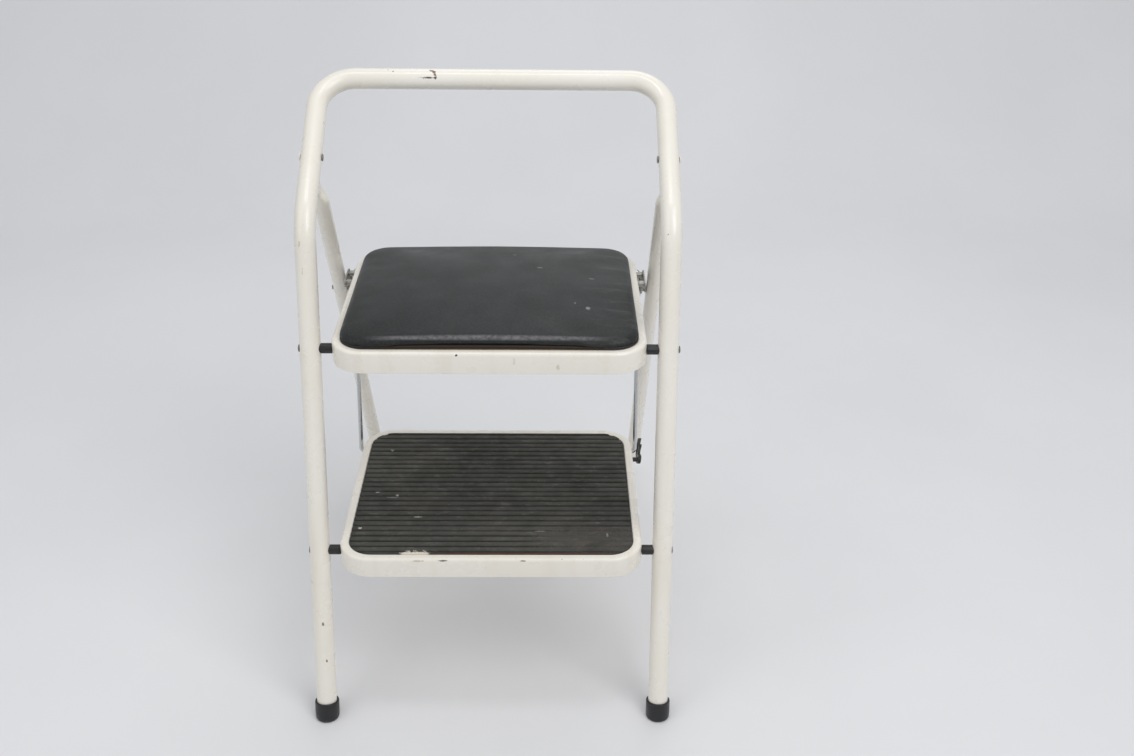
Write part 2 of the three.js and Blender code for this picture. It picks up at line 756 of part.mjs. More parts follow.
// Shouldered rivet: the shoulder keeps a plate clear of the rod beside the pan
function shoulderRivet(thickness) {
  const shank = half(hookRivetDiameter);
  const innerX = faceBehind(hookRear.y, half(hookRivetHeadDiameter));
  const wallX = panHalfWidth + touchGap;
  const plateInnerX = plateX - touchGap;
  const outerX = plateX + thickness + touchGap;
  const innerHead = domed(half(hookRivetHeadDiameter), innerX, -hookRivetHeadHeight).reverse();
  const shoulder = half(hookShoulderDiameter);
  return turnedAboutX([
    ...innerHead,
    [shank, innerX],
    [shank, wallX],
    [shoulder, wallX],
    [shoulder, plateInnerX],
    [shank, plateInnerX],
    [shank, outerX],
    ...domed(shank + touchGap * 2, outerX, touchGap),
  ]);
}

function washer() {
  const face = faceBehind(0, half(washerDiameter));
  return ringAboutX(half(washerDiameter), half(pivotDiameter) + holeGap, face - washerThickness, face);
}

const rodSetback = panRearY - rodBackDistance;
const rearRodPlace = new THREE.Vector3(0, rodSetback, 0);
const screwY = [-panFrontOverhangLength + screwInset, panRearY - screwInset];
const screwX = panHalfWidth - screwInset;
const screwPlaces = screwY.flatMap((y) => [[-screwX, y], [screwX, y]]);

function uprightPin(radius, fromZ, toZ, x, y) {
  const profile = [[0, fromZ], [radius, fromZ], [radius, toZ], [0, toZ]];
  const geometry = new THREE.LatheGeometry(profile.map(([r, z]) => new THREE.Vector2(r, z)), rodSides);
  geometry.rotateX(half(Math.PI));
  geometry.translate(x, y, 0);
  return solidOf(geometry);
}

function seatPan() {
  const tray = panSolid();
  const pivotHoles = sideHoles(half(pivotDiameter) + holeGap, 0, 0);
  const rodHoles = sideHoles(half(rodDiameter) + rodHoleGap, rodSetback, 0);
  const hookHoles = [hookFront, hookRear].map((p) => sideHoles(half(hookRivetDiameter) + holeGap, p.y, p.z));
  const plate = pivotDepth - recessDepth;
  const screwHoles = screwPlaces.map(([x, y]) => (
    uprightPin(half(screwDiameter) + holeGap, plate - overrunLength, plate + overrunLength, x, y)
  ));
  return cut(tray, [pivotHoles, rodHoles, ...hookHoles, ...screwHoles]);
}

const boardBottom = pivotDepth - recessDepth + touchGap;
const boardTop = boardBottom + boardThickness;

function seatBoard() {
  const inset = rimWidth + boardInset;
  const board = recessSlab([[inset, boardBottom], [inset, boardTop]]);
  const pilotTop = boardBottom + screwLength - touchGap;
  const pilots = screwPlaces.map(([x, y]) => (
    uprightPin(half(screwDiameter) + holeGap, boardBottom - overrunLength, pilotTop, x, y)
  ));
  return cut(board, pilots);
}

// Crowned pad: its sides draw in between the corners and its top rises to the middle
function seatPad() {
  const rim = pivotDepth + touchGap;
  const drawn = (inset) => panOutline(inset, padCornerRadius + padInset - inset).map((p) => {
    const shareX = p.x / panHalfWidth;
    const shareY = (p.y - panMiddleY) / half(panDepth);
    const x = p.x - Math.sign(p.x) * padDrawInDepth * (1 - shareY ** 2);
    const y = p.y - Math.sign(p.y - panMiddleY) * padDrawInDepth * (1 - shareX ** 2);
    return new THREE.Vector2(x, y);
  });
  const fallen = (x, y, height) => {
    const shareX = x / panHalfWidth;
    const shareY = (y - panMiddleY) / half(panDepth);
    return rim + height * (1 - padCornerFallShare * (shareX * shareY) ** 2);
  };
  const ring = (points, height) => points.map((p) => new THREE.Vector3(p.x, p.y, fallen(p.x, p.y, height)));
  const edge = drawn(padInset);
  const shoulderRings = quarterTurn(headSteps).map((angle) => {
    const inset = padInset + padShoulderRadius * (1 - Math.cos(angle));
    return ring(drawn(inset), padEdgeHeight - padShoulderRadius * (1 - Math.sin(angle)));
  });
  const shoulder = drawn(padInset + padShoulderRadius);
  const crownRings = crownShares.map((share) => shoulder.map((p) => {
    const height = padEdgeHeight + (padCrownHeight - padEdgeHeight) * (1 - share ** 2);
    const x = p.x * share;
    const y = panMiddleY + (p.y - panMiddleY) * share;
    return new THREE.Vector3(x, y, fallen(x, y, height));
  }));
  const tucked = ring(drawn(padInset + padTuckDepth), 0);
  const whole = lofted([tucked, ring(edge, padTuckHeight), ...shoulderRings, ...crownRings]);
  const inset = rimWidth + boardInset - touchGap;
  const room = recessSlab([[inset, boardBottom - overrunLength], [inset, boardTop + touchGap]]);
  return whole.subtract(room);
}

function boardScrew() {
  const headTop = pivotDepth - recessDepth - panWall - touchGap;
  const shankTop = boardBottom + screwLength - 2 * touchGap;
  const profile = [
    [0, headTop - screwHeadHeight],
    [half(screwHeadDiameter) * screwChamferShare, headTop - screwHeadHeight],
    [half(screwHeadDiameter), headTop - half(screwHeadHeight)],
    [half(screwHeadDiameter), headTop],
    [half(screwDiameter), headTop],
    [half(screwDiameter), shankTop],
    [0, shankTop],
  ];
  const geometry = new THREE.LatheGeometry(profile.map(([r, z]) => new THREE.Vector2(r, z)), rodSides);
  geometry.rotateX(half(Math.PI));
  return solidOf(geometry);
}

function seatSidePieces(side) {
  const word = side < 0 ? 'left' : 'right';
  const mirrored = (solid) => (side < 0 ? solid.mirror([1, 0, 0]) : solid);
  const rivet = shoulderRivet(hookPlateThickness);
  return [
    piece(`seat_washer_${word}`, zinc, mirrored(washer())),
    piece(`hook_plate_${word}`, zinc, mirrored(hookPlate())),
    groupAt(hookFront, [piece(`hook_rivet_front_${word}`, zinc, mirrored(rivet))]),
    groupAt(hookRear, [piece(`hook_rivet_rear_${word}`, zinc, mirrored(rivet))]),
  ];
}

const catchStud = turnSide(foldedStud.clone().sub(stepPivot), -seatFold);
const almostFolded = turnSide(stud.clone().sub(rearHinge), -rearFold * throatPathShare).add(rearHinge);
const throatFar = turnSide(almostFolded.sub(stepPivot), -seatFold * throatPathShare);
const throatAlong = throatFar.sub(catchStud).normalize();
const throatAside = new THREE.Vector3(0, throatAlong.z, -throatAlong.y);
const catchRivet = new THREE.Vector3(0, panRearY - catchRivetBackDistance, pivotDepth - catchRivetDepth);

function stepPan() {
  const tray = panSolid();
  const pivotHoles = sideHoles(half(pivotDiameter) + holeGap, 0, 0);
  const rodHoles = sideHoles(half(rodDiameter) + rodHoleGap, rodSetback, 0);
  const holeRadius = half(hookRivetDiameter) + holeGap;
  const fromX = wallInnerX - overrunLength;
  const catchHole = crossPin(holeRadius, fromX, legX, catchRivet.y, catchRivet.z, rodSides);
  return cut(tray, [pivotHoles, rodHoles, catchHole]);
}

// Rubber mat: grooves across the step leave ribs between them
function stepMat() {
  const bottom = pivotDepth - recessDepth + touchGap;
  const matTop = bottom + matThickness;
  const blank = recessSlab([[rimWidth + touchGap, bottom], [rimWidth + touchGap, matTop]]);
  const matDepth = panDepth - 2 * (rimWidth + touchGap);
  const count = Math.floor(matDepth / ribPitch);
  const grooves = [];
  for (let i = 0; i < count; i += 1) {
    const y = panMiddleY + (i - (count - 1) / 2) * ribPitch;
    const groove = new THREE.BoxGeometry(2 * panHalfWidth, grooveWidth, 2 * grooveDepth);
    groove.translate(0, y, matTop);
    grooves.push(solidOf(groove));
  }
  return cut(blank, grooves);
}

// Fold catch: a springy plastic fork that grips the rear leg's stud when folded
function foldCatch() {
  const forkEnd = catchStud.clone().addScaledVector(throatAlong, catchForkLength);
  const eye = sideBar(catchStud, catchEyeRadius, forkEnd, catchEyeRadius, plateX, catchThickness);
  const wallMiddle = half(catchEyeRadius + half(studDiameter) + slotGap);
  const tipStart = forkEnd.clone().addScaledVector(throatAside, wallMiddle);
  const tipEnd = tipStart.clone().addScaledVector(throatAlong, catchTipLength - catchForkLength);
  const tipRoot = catchEyeRadius - wallMiddle;
  const tip = sideBar(tipStart, tipRoot, tipEnd, catchTipRadius, plateX, catchThickness);
  const tail = sideBar(catchRivet, catchTailRadius, catchStud, catchTailRadius, plateX, catchThickness);
  const bossEnd = plateX + half(catchThickness);
  const boss = crossPin(half(catchBossDiameter), panHalfWidth + touchGap, bossEnd, catchRivet.y, catchRivet.z);
  const throatRadius = half(studDiameter) + slotGap;
  const throatEnd = catchStud.clone().addScaledVector(throatAlong, catchThroatLength);
  const fromX = plateX - overrunLength;
  const toX = plateX + catchThickness + overrunLength;
  const throat = sideBar(catchStud, throatRadius, throatEnd, throatRadius, fromX, toX - fromX);
  const hole = crossPin(half(hookRivetDiameter) + holeGap, 0, legX, catchRivet.y, catchRivet.z, rodSides);
  const flat = cut(joined([eye, tip, tail, boss]), [throat, hole]);
  return flat.warp((vertex) => {
    vertex[0] += catchLeanShare * Math.max(vertex[2], 0);
  });
}

function catchFixing() {
  const outerX = plateX + catchThickness + touchGap;
  const face = faceBehind(catchRivet.y, half(hookRivetHeadDiameter));
  const inner = domed(half(hookRivetHeadDiameter), face, -hookRivetHeadHeight).reverse();
  const shank = half(hookRivetDiameter);
  const headSeat = [[shank, face], [shank, outerX]];
  return turnedAboutX([...inner, ...headSeat, ...domed(shank + 2 * touchGap, outerX, touchGap)]);
}

// Side rod: a wire with both ends bent square into the pans, from seat to step
function sideRod(side) {
  const foot = stepPivot.clone().sub(seatPivot);
  const endX = side * (faceBehind(rodSetback, half(clipDiameter)) - rodEndLength);
  const outX = side * rodX;
  const route = [
    new THREE.Vector3(endX, 0, 0),
    new THREE.Vector3(outX, 0, 0),
    new THREE.Vector3(outX, foot.y, foot.z),
    new THREE.Vector3(endX, foot.y, foot.z),
  ];
  return roundBar(bentPath(route, [rodBendRadius, rodBendRadius]), half(rodDiameter), rodSides);
}

// Push-on clip: a dished ring that keeps a rod's end in its hole
function rodClip() {
  const outer = half(clipDiameter);
  const bore = half(rodDiameter) + holeGap;
  const face = faceBehind(rodSetback, half(clipDiameter));
  const rim = [
    [bore, face - 2 * clipThickness],
    [outer, face - clipThickness],
    [outer, face],
    [bore, face - clipThickness],
  ];
  return turnedAboutX([...rim, rim[0]]);
}

function rodPieces(side) {
  const word = side < 0 ? 'left' : 'right';
  const mirrored = (solid) => (side < 0 ? solid.mirror([1, 0, 0]) : solid);
  const foot = stepPivot.clone().sub(seatPivot);
  return groupAt(seatPivot.clone().add(rearRodPlace), [
    piece(`side_rod_${word}`, chrome, sideRod(side)),
    piece(`rod_clip_upper_${word}`, zinc, mirrored(rodClip())),
    groupAt(foot, [piece(`rod_clip_lower_${word}`, zinc, mirrored(rodClip()))]),
  ]);
}

const stool = new THREE.Group();
const sides = [-1, 1];
stool.add(piece('front_frame', paint, frontFrame()));
stool.add(...sides.flatMap(sidePieces));
stool.add(groupAt(rearHinge, [
  piece('rear_frame', paint, rearFrame()),
  ...sides.flatMap(rearSidePieces),
]));
stool.add(groupAt(seatPivot, [
  piece('seat_pan', paint, seatPan()),
  piece('seat_board', plywood, seatBoard()),
  piece('seat_pad', vinyl, seatPad()),
  ...screwPlaces.map(([x, y], i) => groupAt(new THREE.Vector3(x, y, 0), [
    piece(`board_screw_${i + 1}`, zinc, boardScrew()),
  ])),
  ...sides.flatMap(seatSidePieces),
]));
stool.add(groupAt(stepPivot, [
  piece('step_pan', paint, stepPan()),
  piece('step_mat', rubber, stepMat()),
  piece('step_washer_left', zinc, washer().mirror([1, 0, 0])),
  piece('step_washer_right', zinc, washer()),
  piece('fold_catch', plastic, foldCatch()),
  groupAt(catchRivet, [piece('catch_rivet', zinc, catchFixing())]),
]));
stool.add(...sides.map(rodPieces));

// The origin goes under the middle of the whole stool, with the feet on z = 0
stool.updateMatrixWorld(true);
const extent = new THREE.Box3().setFromObject(stool, true);
stool.position.y = -half(extent.min.y + extent.max.y);

export default stool;
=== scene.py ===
"""Folding step stool chair: finished surfaces, materials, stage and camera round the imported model."""

import functools
import math

import bmesh
import bpy
import numpy as np
from mathutils import Matrix, Vector


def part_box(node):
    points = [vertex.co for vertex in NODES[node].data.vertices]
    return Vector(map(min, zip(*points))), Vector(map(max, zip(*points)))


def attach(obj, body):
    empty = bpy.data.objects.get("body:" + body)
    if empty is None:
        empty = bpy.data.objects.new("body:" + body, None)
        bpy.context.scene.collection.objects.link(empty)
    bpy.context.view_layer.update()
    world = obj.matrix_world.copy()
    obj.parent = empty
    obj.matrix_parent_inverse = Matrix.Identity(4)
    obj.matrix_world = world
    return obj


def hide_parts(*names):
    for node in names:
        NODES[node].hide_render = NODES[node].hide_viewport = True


bl_info = {
    "name": "Folding Step Stool Chair",
    "version": (1, 0, 0),
    "blender": (4, 5, 0),
    "location": "View3D > Sidebar > Stool",
    "description": "Builds a cream-painted tube stool with a padded seat and a ribbed step",
    "category": "Object",
}

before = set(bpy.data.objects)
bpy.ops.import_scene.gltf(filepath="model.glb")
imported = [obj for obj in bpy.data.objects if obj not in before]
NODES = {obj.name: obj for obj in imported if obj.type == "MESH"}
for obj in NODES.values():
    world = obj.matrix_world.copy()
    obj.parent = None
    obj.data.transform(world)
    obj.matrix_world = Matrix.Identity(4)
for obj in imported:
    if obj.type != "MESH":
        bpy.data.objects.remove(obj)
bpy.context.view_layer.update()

X = np.array([1.0, 0.0, 0.0])
Y = np.array([0.0, 1.0, 0.0])
Z = np.array([0.0, 0.0, 1.0])
SIDES = (("left", -1), ("right", 1))


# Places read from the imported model
def centre_of(node):
    """The middle of a node's box, in metres."""
    low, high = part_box(node)
    return (np.array(low) + np.array(high)) / 2


def side_plane(point):
    """The same place with no sideways offset."""
    return np.array([0.0, point[1], point[2]])


def ends_of(node):
    """How far the inner and the outer end of a node at one side are from the stool's middle."""
    low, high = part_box(node)
    return sorted((abs(low[0]), abs(high[0])))


FRONT_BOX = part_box("front_frame")
SEAT_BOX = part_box("seat_pan")
STEP_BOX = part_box("step_pan")
REAR_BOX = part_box("rear_frame")
SEAT_PIVOT = side_plane(centre_of("seat_spacer_right"))
STEP_PIVOT = side_plane(centre_of("step_spacer_right"))
REAR_HINGE = side_plane(centre_of("rear_hinge_rivet_right"))
STUD = side_plane(centre_of("seat_stud_right"))
ROD_TOP = side_plane(centre_of("rod_clip_upper_right"))
ROD_FOOT = side_plane(centre_of("rod_clip_lower_right"))
LEG_UP = (SEAT_PIVOT - STEP_PIVOT) / np.linalg.norm(SEAT_PIVOT - STEP_PIVOT)
REAR_DOWN = (STUD - REAR_HINGE) / np.linalg.norm(STUD - REAR_HINGE)


def on_leg(height):
    """The place on the front legs' centre line at a height."""
    return STEP_PIVOT + LEG_UP * (height - STEP_PIVOT[2]) / LEG_UP[2]


# Settings that a user would change
def length_setting(name, description, default):
    return bpy.props.FloatProperty(name=name, description=description, default=default, unit="LENGTH")


def angle_setting(name, description, degrees):
    return bpy.props.FloatProperty(
        name=name, description=description, default=math.radians(degrees), subtype="ANGLE")


def colour_setting(name, description, default):
    return bpy.props.FloatVectorProperty(
        name=name, description=description, default=default, subtype="COLOR", size=3, min=0, max=1)


class StoolSizes(bpy.types.PropertyGroup):
    front_tube: length_setting("Front tube", "Diameter of the arched front tube", 0.025)
    rear_tube: length_setting("Rear tube", "Diameter of the rear frame's tube", 0.020)
    leg_spacing: length_setting("Leg spacing", "Distance between the legs' centre lines", 0.425)
    kink_height: length_setting("Bend height", "Height at which the front tube leans back", 0.615)
    kink_radius: length_setting("Bend radius", "Radius of that bend", 0.075)
    top_radius: length_setting("Top corner radius", "Radius of the handle's corners", 0.045)
    foot_radius: length_setting("Rear corner radius", "Radius of the rear frame's corners", 0.050)
    pan_corner: length_setting("Tray corner radius", "Radius of the trays' corners", 0.041)
    rim_width: length_setting("Rim width", "Width of the rim round each tray", 0.0110)
    pad_inset: length_setting("Pad inset", "From the tray's edge to the pad", 0.008)
    pad_edge: length_setting("Pad edge", "Height of the pad's edge above the rim", 0.0155)
    pad_crown: length_setting("Pad crown", "Height of the pad's middle above the rim", 0.0215)
    rib_pitch: length_setting("Rib pitch", "From one rib of the step mat to the next", 0.0107)


class StoolFinish(bpy.types.PropertyGroup):
    paint: colour_setting("Paint", "Colour of the enamel", (0.875, 0.840, 0.770))
    vinyl: colour_setting("Vinyl", "Colour of the seat cover", (0.015, 0.016, 0.0165))
    rubber: colour_setting("Rubber", "Colour of the step mat", (0.030, 0.030, 0.027))
    plastic: colour_setting("Plastic", "Colour of caps, sleeves and catch", (0.012, 0.012, 0.013))
    zinc: colour_setting("Zinc", "Colour of the plated fittings", (0.38, 0.375, 0.35))
    chrome: colour_setting("Chrome", "Colour of the side rods", (0.62, 0.63, 0.63))


class StoolStage(bpy.types.PropertyGroup):
    focal: bpy.props.FloatProperty(
        name="Lens", description="Focal length on a 36 mm sensor", default=37.998, min=10)
    place: bpy.props.FloatVectorProperty(
        name="Camera place", description="Where the camera stands", subtype="XYZ", size=3,
        default=(0.0680, -1.4170, 1.1396))
    pitch: angle_setting("Pitch", "How far the camera looks down", 29.41)
    yaw: angle_setting("Yaw", "How far the camera turns right", 1.104)
    roll: angle_setting("Roll", "How far the camera tilts", 0.747)
    floor: colour_setting("Floor", "Colour of the floor and backdrop", (0.80, 0.80, 0.81))


def sizes():
    return bpy.context.scene.stool_sizes


def finish():
    return bpy.context.scene.stool_finish


# Mesh code: whole arrays of points, put into a mesh at once
def unit(v):
    """Vectors divided by their lengths, along the last axis."""
    return v / np.maximum(np.linalg.norm(v, axis=-1, keepdims=True), 1e-12)


def mesh_object(name, points, faces, smooth=True):
    """An object whose mesh has these points and faces; all faces share the shading."""
    mesh = bpy.data.meshes.new(name)
    mesh.from_pydata(points.reshape(-1, 3).tolist(), [], faces)
    mesh.polygons.foreach_set("use_smooth", np.full(len(mesh.polygons), smooth))
    mesh.update()
    obj = bpy.data.objects.new(name, mesh)
    bpy.context.scene.collection.objects.link(obj)
    return obj


def grid_faces(rows, columns, wrap_rows=False, wrap_columns=True):
    """Quads of a grid of points: row i, column j joins to the next of each, wrapping where asked."""
    i = np.arange(rows if wrap_rows else rows - 1)[:, None]
    j = np.arange(columns if wrap_columns else columns - 1)[None, :]
    ii, jj = (i + 1) % rows, (j + 1) % columns
    quads = np.stack([i * columns + j, i * columns + jj, ii * columns + jj, ii * columns + j], -1)
    return quads.reshape(-1, 4)


def shell(name, rings, wrap_rows=False):
    """Closed surface through rings of points, (rows, columns, 3): joined into a loop, or with a flat face
    over each end ring."""
    rows, columns = rings.shape[:2]
    faces = grid_faces(rows, columns, wrap_rows).tolist()
    if not wrap_rows:
        faces.append(list(range(columns))[::-1])
        faces.append([(rows - 1) * columns + j for j in range(columns)])
    return mesh_object(name, rings, faces)


def hub_shell(name, rings, first, last):
    """Closed surface through rings whose two ends meet in single points, first and last."""
    rows, columns = rings.shape[:2]
    points = np.concatenate([rings.reshape(-1, 3), [first], [last]])
    j = np.arange(columns)
    jj = (j + 1) % columns
    base = (rows - 1) * columns
    start = np.stack([np.full(columns, rows * columns), jj, j], -1)
    end = np.stack([np.full(columns, rows * columns + 1), base + j, base + jj], -1)
    faces = grid_faces(rows, columns).tolist() + start.tolist() + end.tolist()
    return mesh_object(name, points, faces)


BLOCK_FACES = [[0, 1, 3, 2], [4, 6, 7, 5], [0, 4, 5, 1], [2, 3, 7, 6], [0, 2, 6, 4], [1, 5, 7, 3]]


def block(name, origin, *spans):
    """A box: each corner is the origin plus one of the two offsets of each span."""
    a, b, c = spans
    corners = origin + a[:, None, None] + b[None, :, None] + c[None, None]
    return mesh_object(name, corners, BLOCK_FACES, smooth=False)


def bend(corner, arriving, leaving, radius, steps):
    """Points and directions of a circular bend between two runs that meet at a corner.

    It starts radius * tan(turn / 2) before the corner. A point is the bend's centre minus
    radius * cos(angle) inwards plus radius * sin(angle) along the arriving run."""
    turn = math.acos(float(np.clip(arriving @ leaving, -1, 1)))
    inward = unit(leaving - arriving * (arriving @ leaving))
    centre = corner - arriving * radius * math.tan(turn / 2) + inward * radius
    angle = np.linspace(0, turn, steps + 1)[:, None]
    points = centre - inward * radius * np.cos(angle) + arriving * radius * np.sin(angle)
    return points, arriving * np.cos(angle) + inward * np.sin(angle)


def arc_points(corners, radii, steps):
    """Points and directions along straight runs joined by bends at the inner corners."""
    corners = np.asarray(corners, float)
    runs = unit(np.diff(corners, axis=0))
    bends = [bend(*parts, steps) for parts in zip(corners[1:-1], runs[:-1], runs[1:], radii)]
    points, ways = zip((corners[:1], runs[:1]), *bends, (corners[-1:], runs[-1:]))
    return np.concatenate(points), np.concatenate(ways)


def subdivided(points, ways, longest):
    """The same route with extra stations, so that no two are further apart than longest."""
    gaps = np.linalg.norm(np.diff(points, axis=0), axis=1)
    counts = np.maximum(1, np.ceil(gaps / longest).astype(int))
    index = np.repeat(np.arange(len(gaps)), counts)
    share = np.concatenate([np.arange(n) / n for n in counts])[:, None]
    p = points[index] * (1 - share) + points[index + 1] * share
    w = unit(ways[index] * (1 - share) + ways[index + 1] * share)
    return np.concatenate([p, points[-1:]]), np.concatenate([w, ways[-1:]])


def tube_rings(points, ways, reference, radius, sides):
    """Rings round a route: point + radius * (cos a * across + sin a * other), square to the route.

    other is the reference direction with its part along the route taken off."""
    other = unit(reference - ways * np.sum(ways * reference, -1, keepdims=True))
    across = np.cross(other, ways)
    a = np.linspace(0, 2 * math.pi, sides, endpoint=False)[None, :, None]
    return points[:, None] + radius * (np.cos(a) * across[:, None] + np.sin(a) * other[:, None])


def turned(name, profile, centre, axis, sides):
    """A solid turned about an axis: centre + axis * along + radius * (cos a * u + sin a * v).

    The profile holds radius and place along the axis, from one end on the axis to the other."""
    profile = np.asarray(profile, float)
    u = unit(np.cross(axis, Z if abs(axis[2]) < abs(axis[0]) else Y))
    v = np.cross(axis, u)
    a = np.linspace(0, 2 * math.pi, sides, endpoint=False)[None, :, None]
    r, along = profile[:, :1, None], profile[:, 1:, None]
    rings = centre + along * axis + r * (np.cos(a) * u + np.sin(a) * v)
    return hub_shell(name, rings[1:-1], rings[0, 0], rings[-1, 0])


def outline(inset, radius, half_x, front, back, steps, runs):
    """Rounded rectangle seen from above, counter-clockwise: each corner is its centre plus radius times
    (cos a, sin a), and each side has runs extra points evenly spaced."""
    cx = half_x - inset - radius
    cy = np.array([back - inset - radius, front + inset + radius])
    signs = [(1, 0), (-1, 0), (-1, 1), (1, 1)]
    corners = []
    for quarter, (sx, end) in enumerate(signs):
        a = (np.linspace(0, 1, steps + 1) + quarter) * math.pi / 2
        corners.append(np.stack([sx * cx + radius * np.cos(a), cy[end] + radius * np.sin(a)], -1))
    loop = []
    for here, after in zip(corners, corners[1:] + corners[:1]):
        share = (np.arange(1, runs + 1) / (runs + 1))[:, None]
        loop += [here, here[-1] * (1 - share) + after[0] * share]
    return np.concatenate(loop)


def eased(share):
    """A share of the way from 0 to 1, with both ends softened: s * s * (3 - 2 s)."""
    share = np.clip(share, 0, 1)
    return share * share * (3 - 2 * share)


def places_of(mesh):
    """A mesh's points as an array."""
    places = np.zeros(len(mesh.vertices) * 3)
    mesh.vertices.foreach_get("co", places)
    return places.reshape(-1, 3)


def finished_mesh(obj):
    """The object's mesh as its modifiers leave it."""
    return bpy.data.meshes.new_from_object(obj.evaluated_get(bpy.context.evaluated_depsgraph_get()))


def applied(obj):
    """The object's mesh with its modifiers made part of it."""
    mesh = finished_mesh(obj)
    obj.modifiers.clear()
    obj.data = mesh
    return obj


def cut_with(obj, cutters):
    """obj with the cutters' solids taken out of it."""
    bpy.context.view_layer.update()
    for cutter in cutters:
        cutting = obj.modifiers.new("cut", "BOOLEAN")
        cutting.operation, cutting.solver, cutting.object = "DIFFERENCE", "EXACT", cutter
    applied(obj)
    for cutter in cutters:
        bpy.data.objects.remove(cutter)
    return obj


def sharpened(obj, degrees):
    """Smooth shading that breaks at edges sharper than an angle."""
    obj.data.set_sharp_from_angle(angle=math.radians(degrees))
    return obj


BEVEL_FROM = math.radians(35)


def bevelled(obj, width, segments=2):
    """Edges sharper than an angle rounded over a width."""
    rounding = obj.modifiers.new("edges", "BEVEL")
    rounding.width, rounding.segments, rounding.limit_method = width, segments, "ANGLE"
    rounding.angle_limit, rounding.harden_normals = BEVEL_FROM, True
    return obj


MERGE_REACH = 1e-6
FLAT_WITHIN = math.radians(1)


def merged_copy(node, name):
    """A copy of a CAD node's mesh, with its doubled points merged and its flat parts made one face each."""
    obj = bpy.data.objects.new(name, NODES[node].data.copy())
    bpy.context.scene.collection.objects.link(obj)
    work = bmesh.new()
    work.from_mesh(obj.data)
    bmesh.ops.remove_doubles(work, verts=work.verts, dist=MERGE_REACH)
    bmesh.ops.dissolve_limit(work, angle_limit=FLAT_WITHIN, verts=work.verts, edges=work.edges)
    for face in work.faces:
        face.smooth = True
    work.to_mesh(obj.data)
    work.free()
    return obj


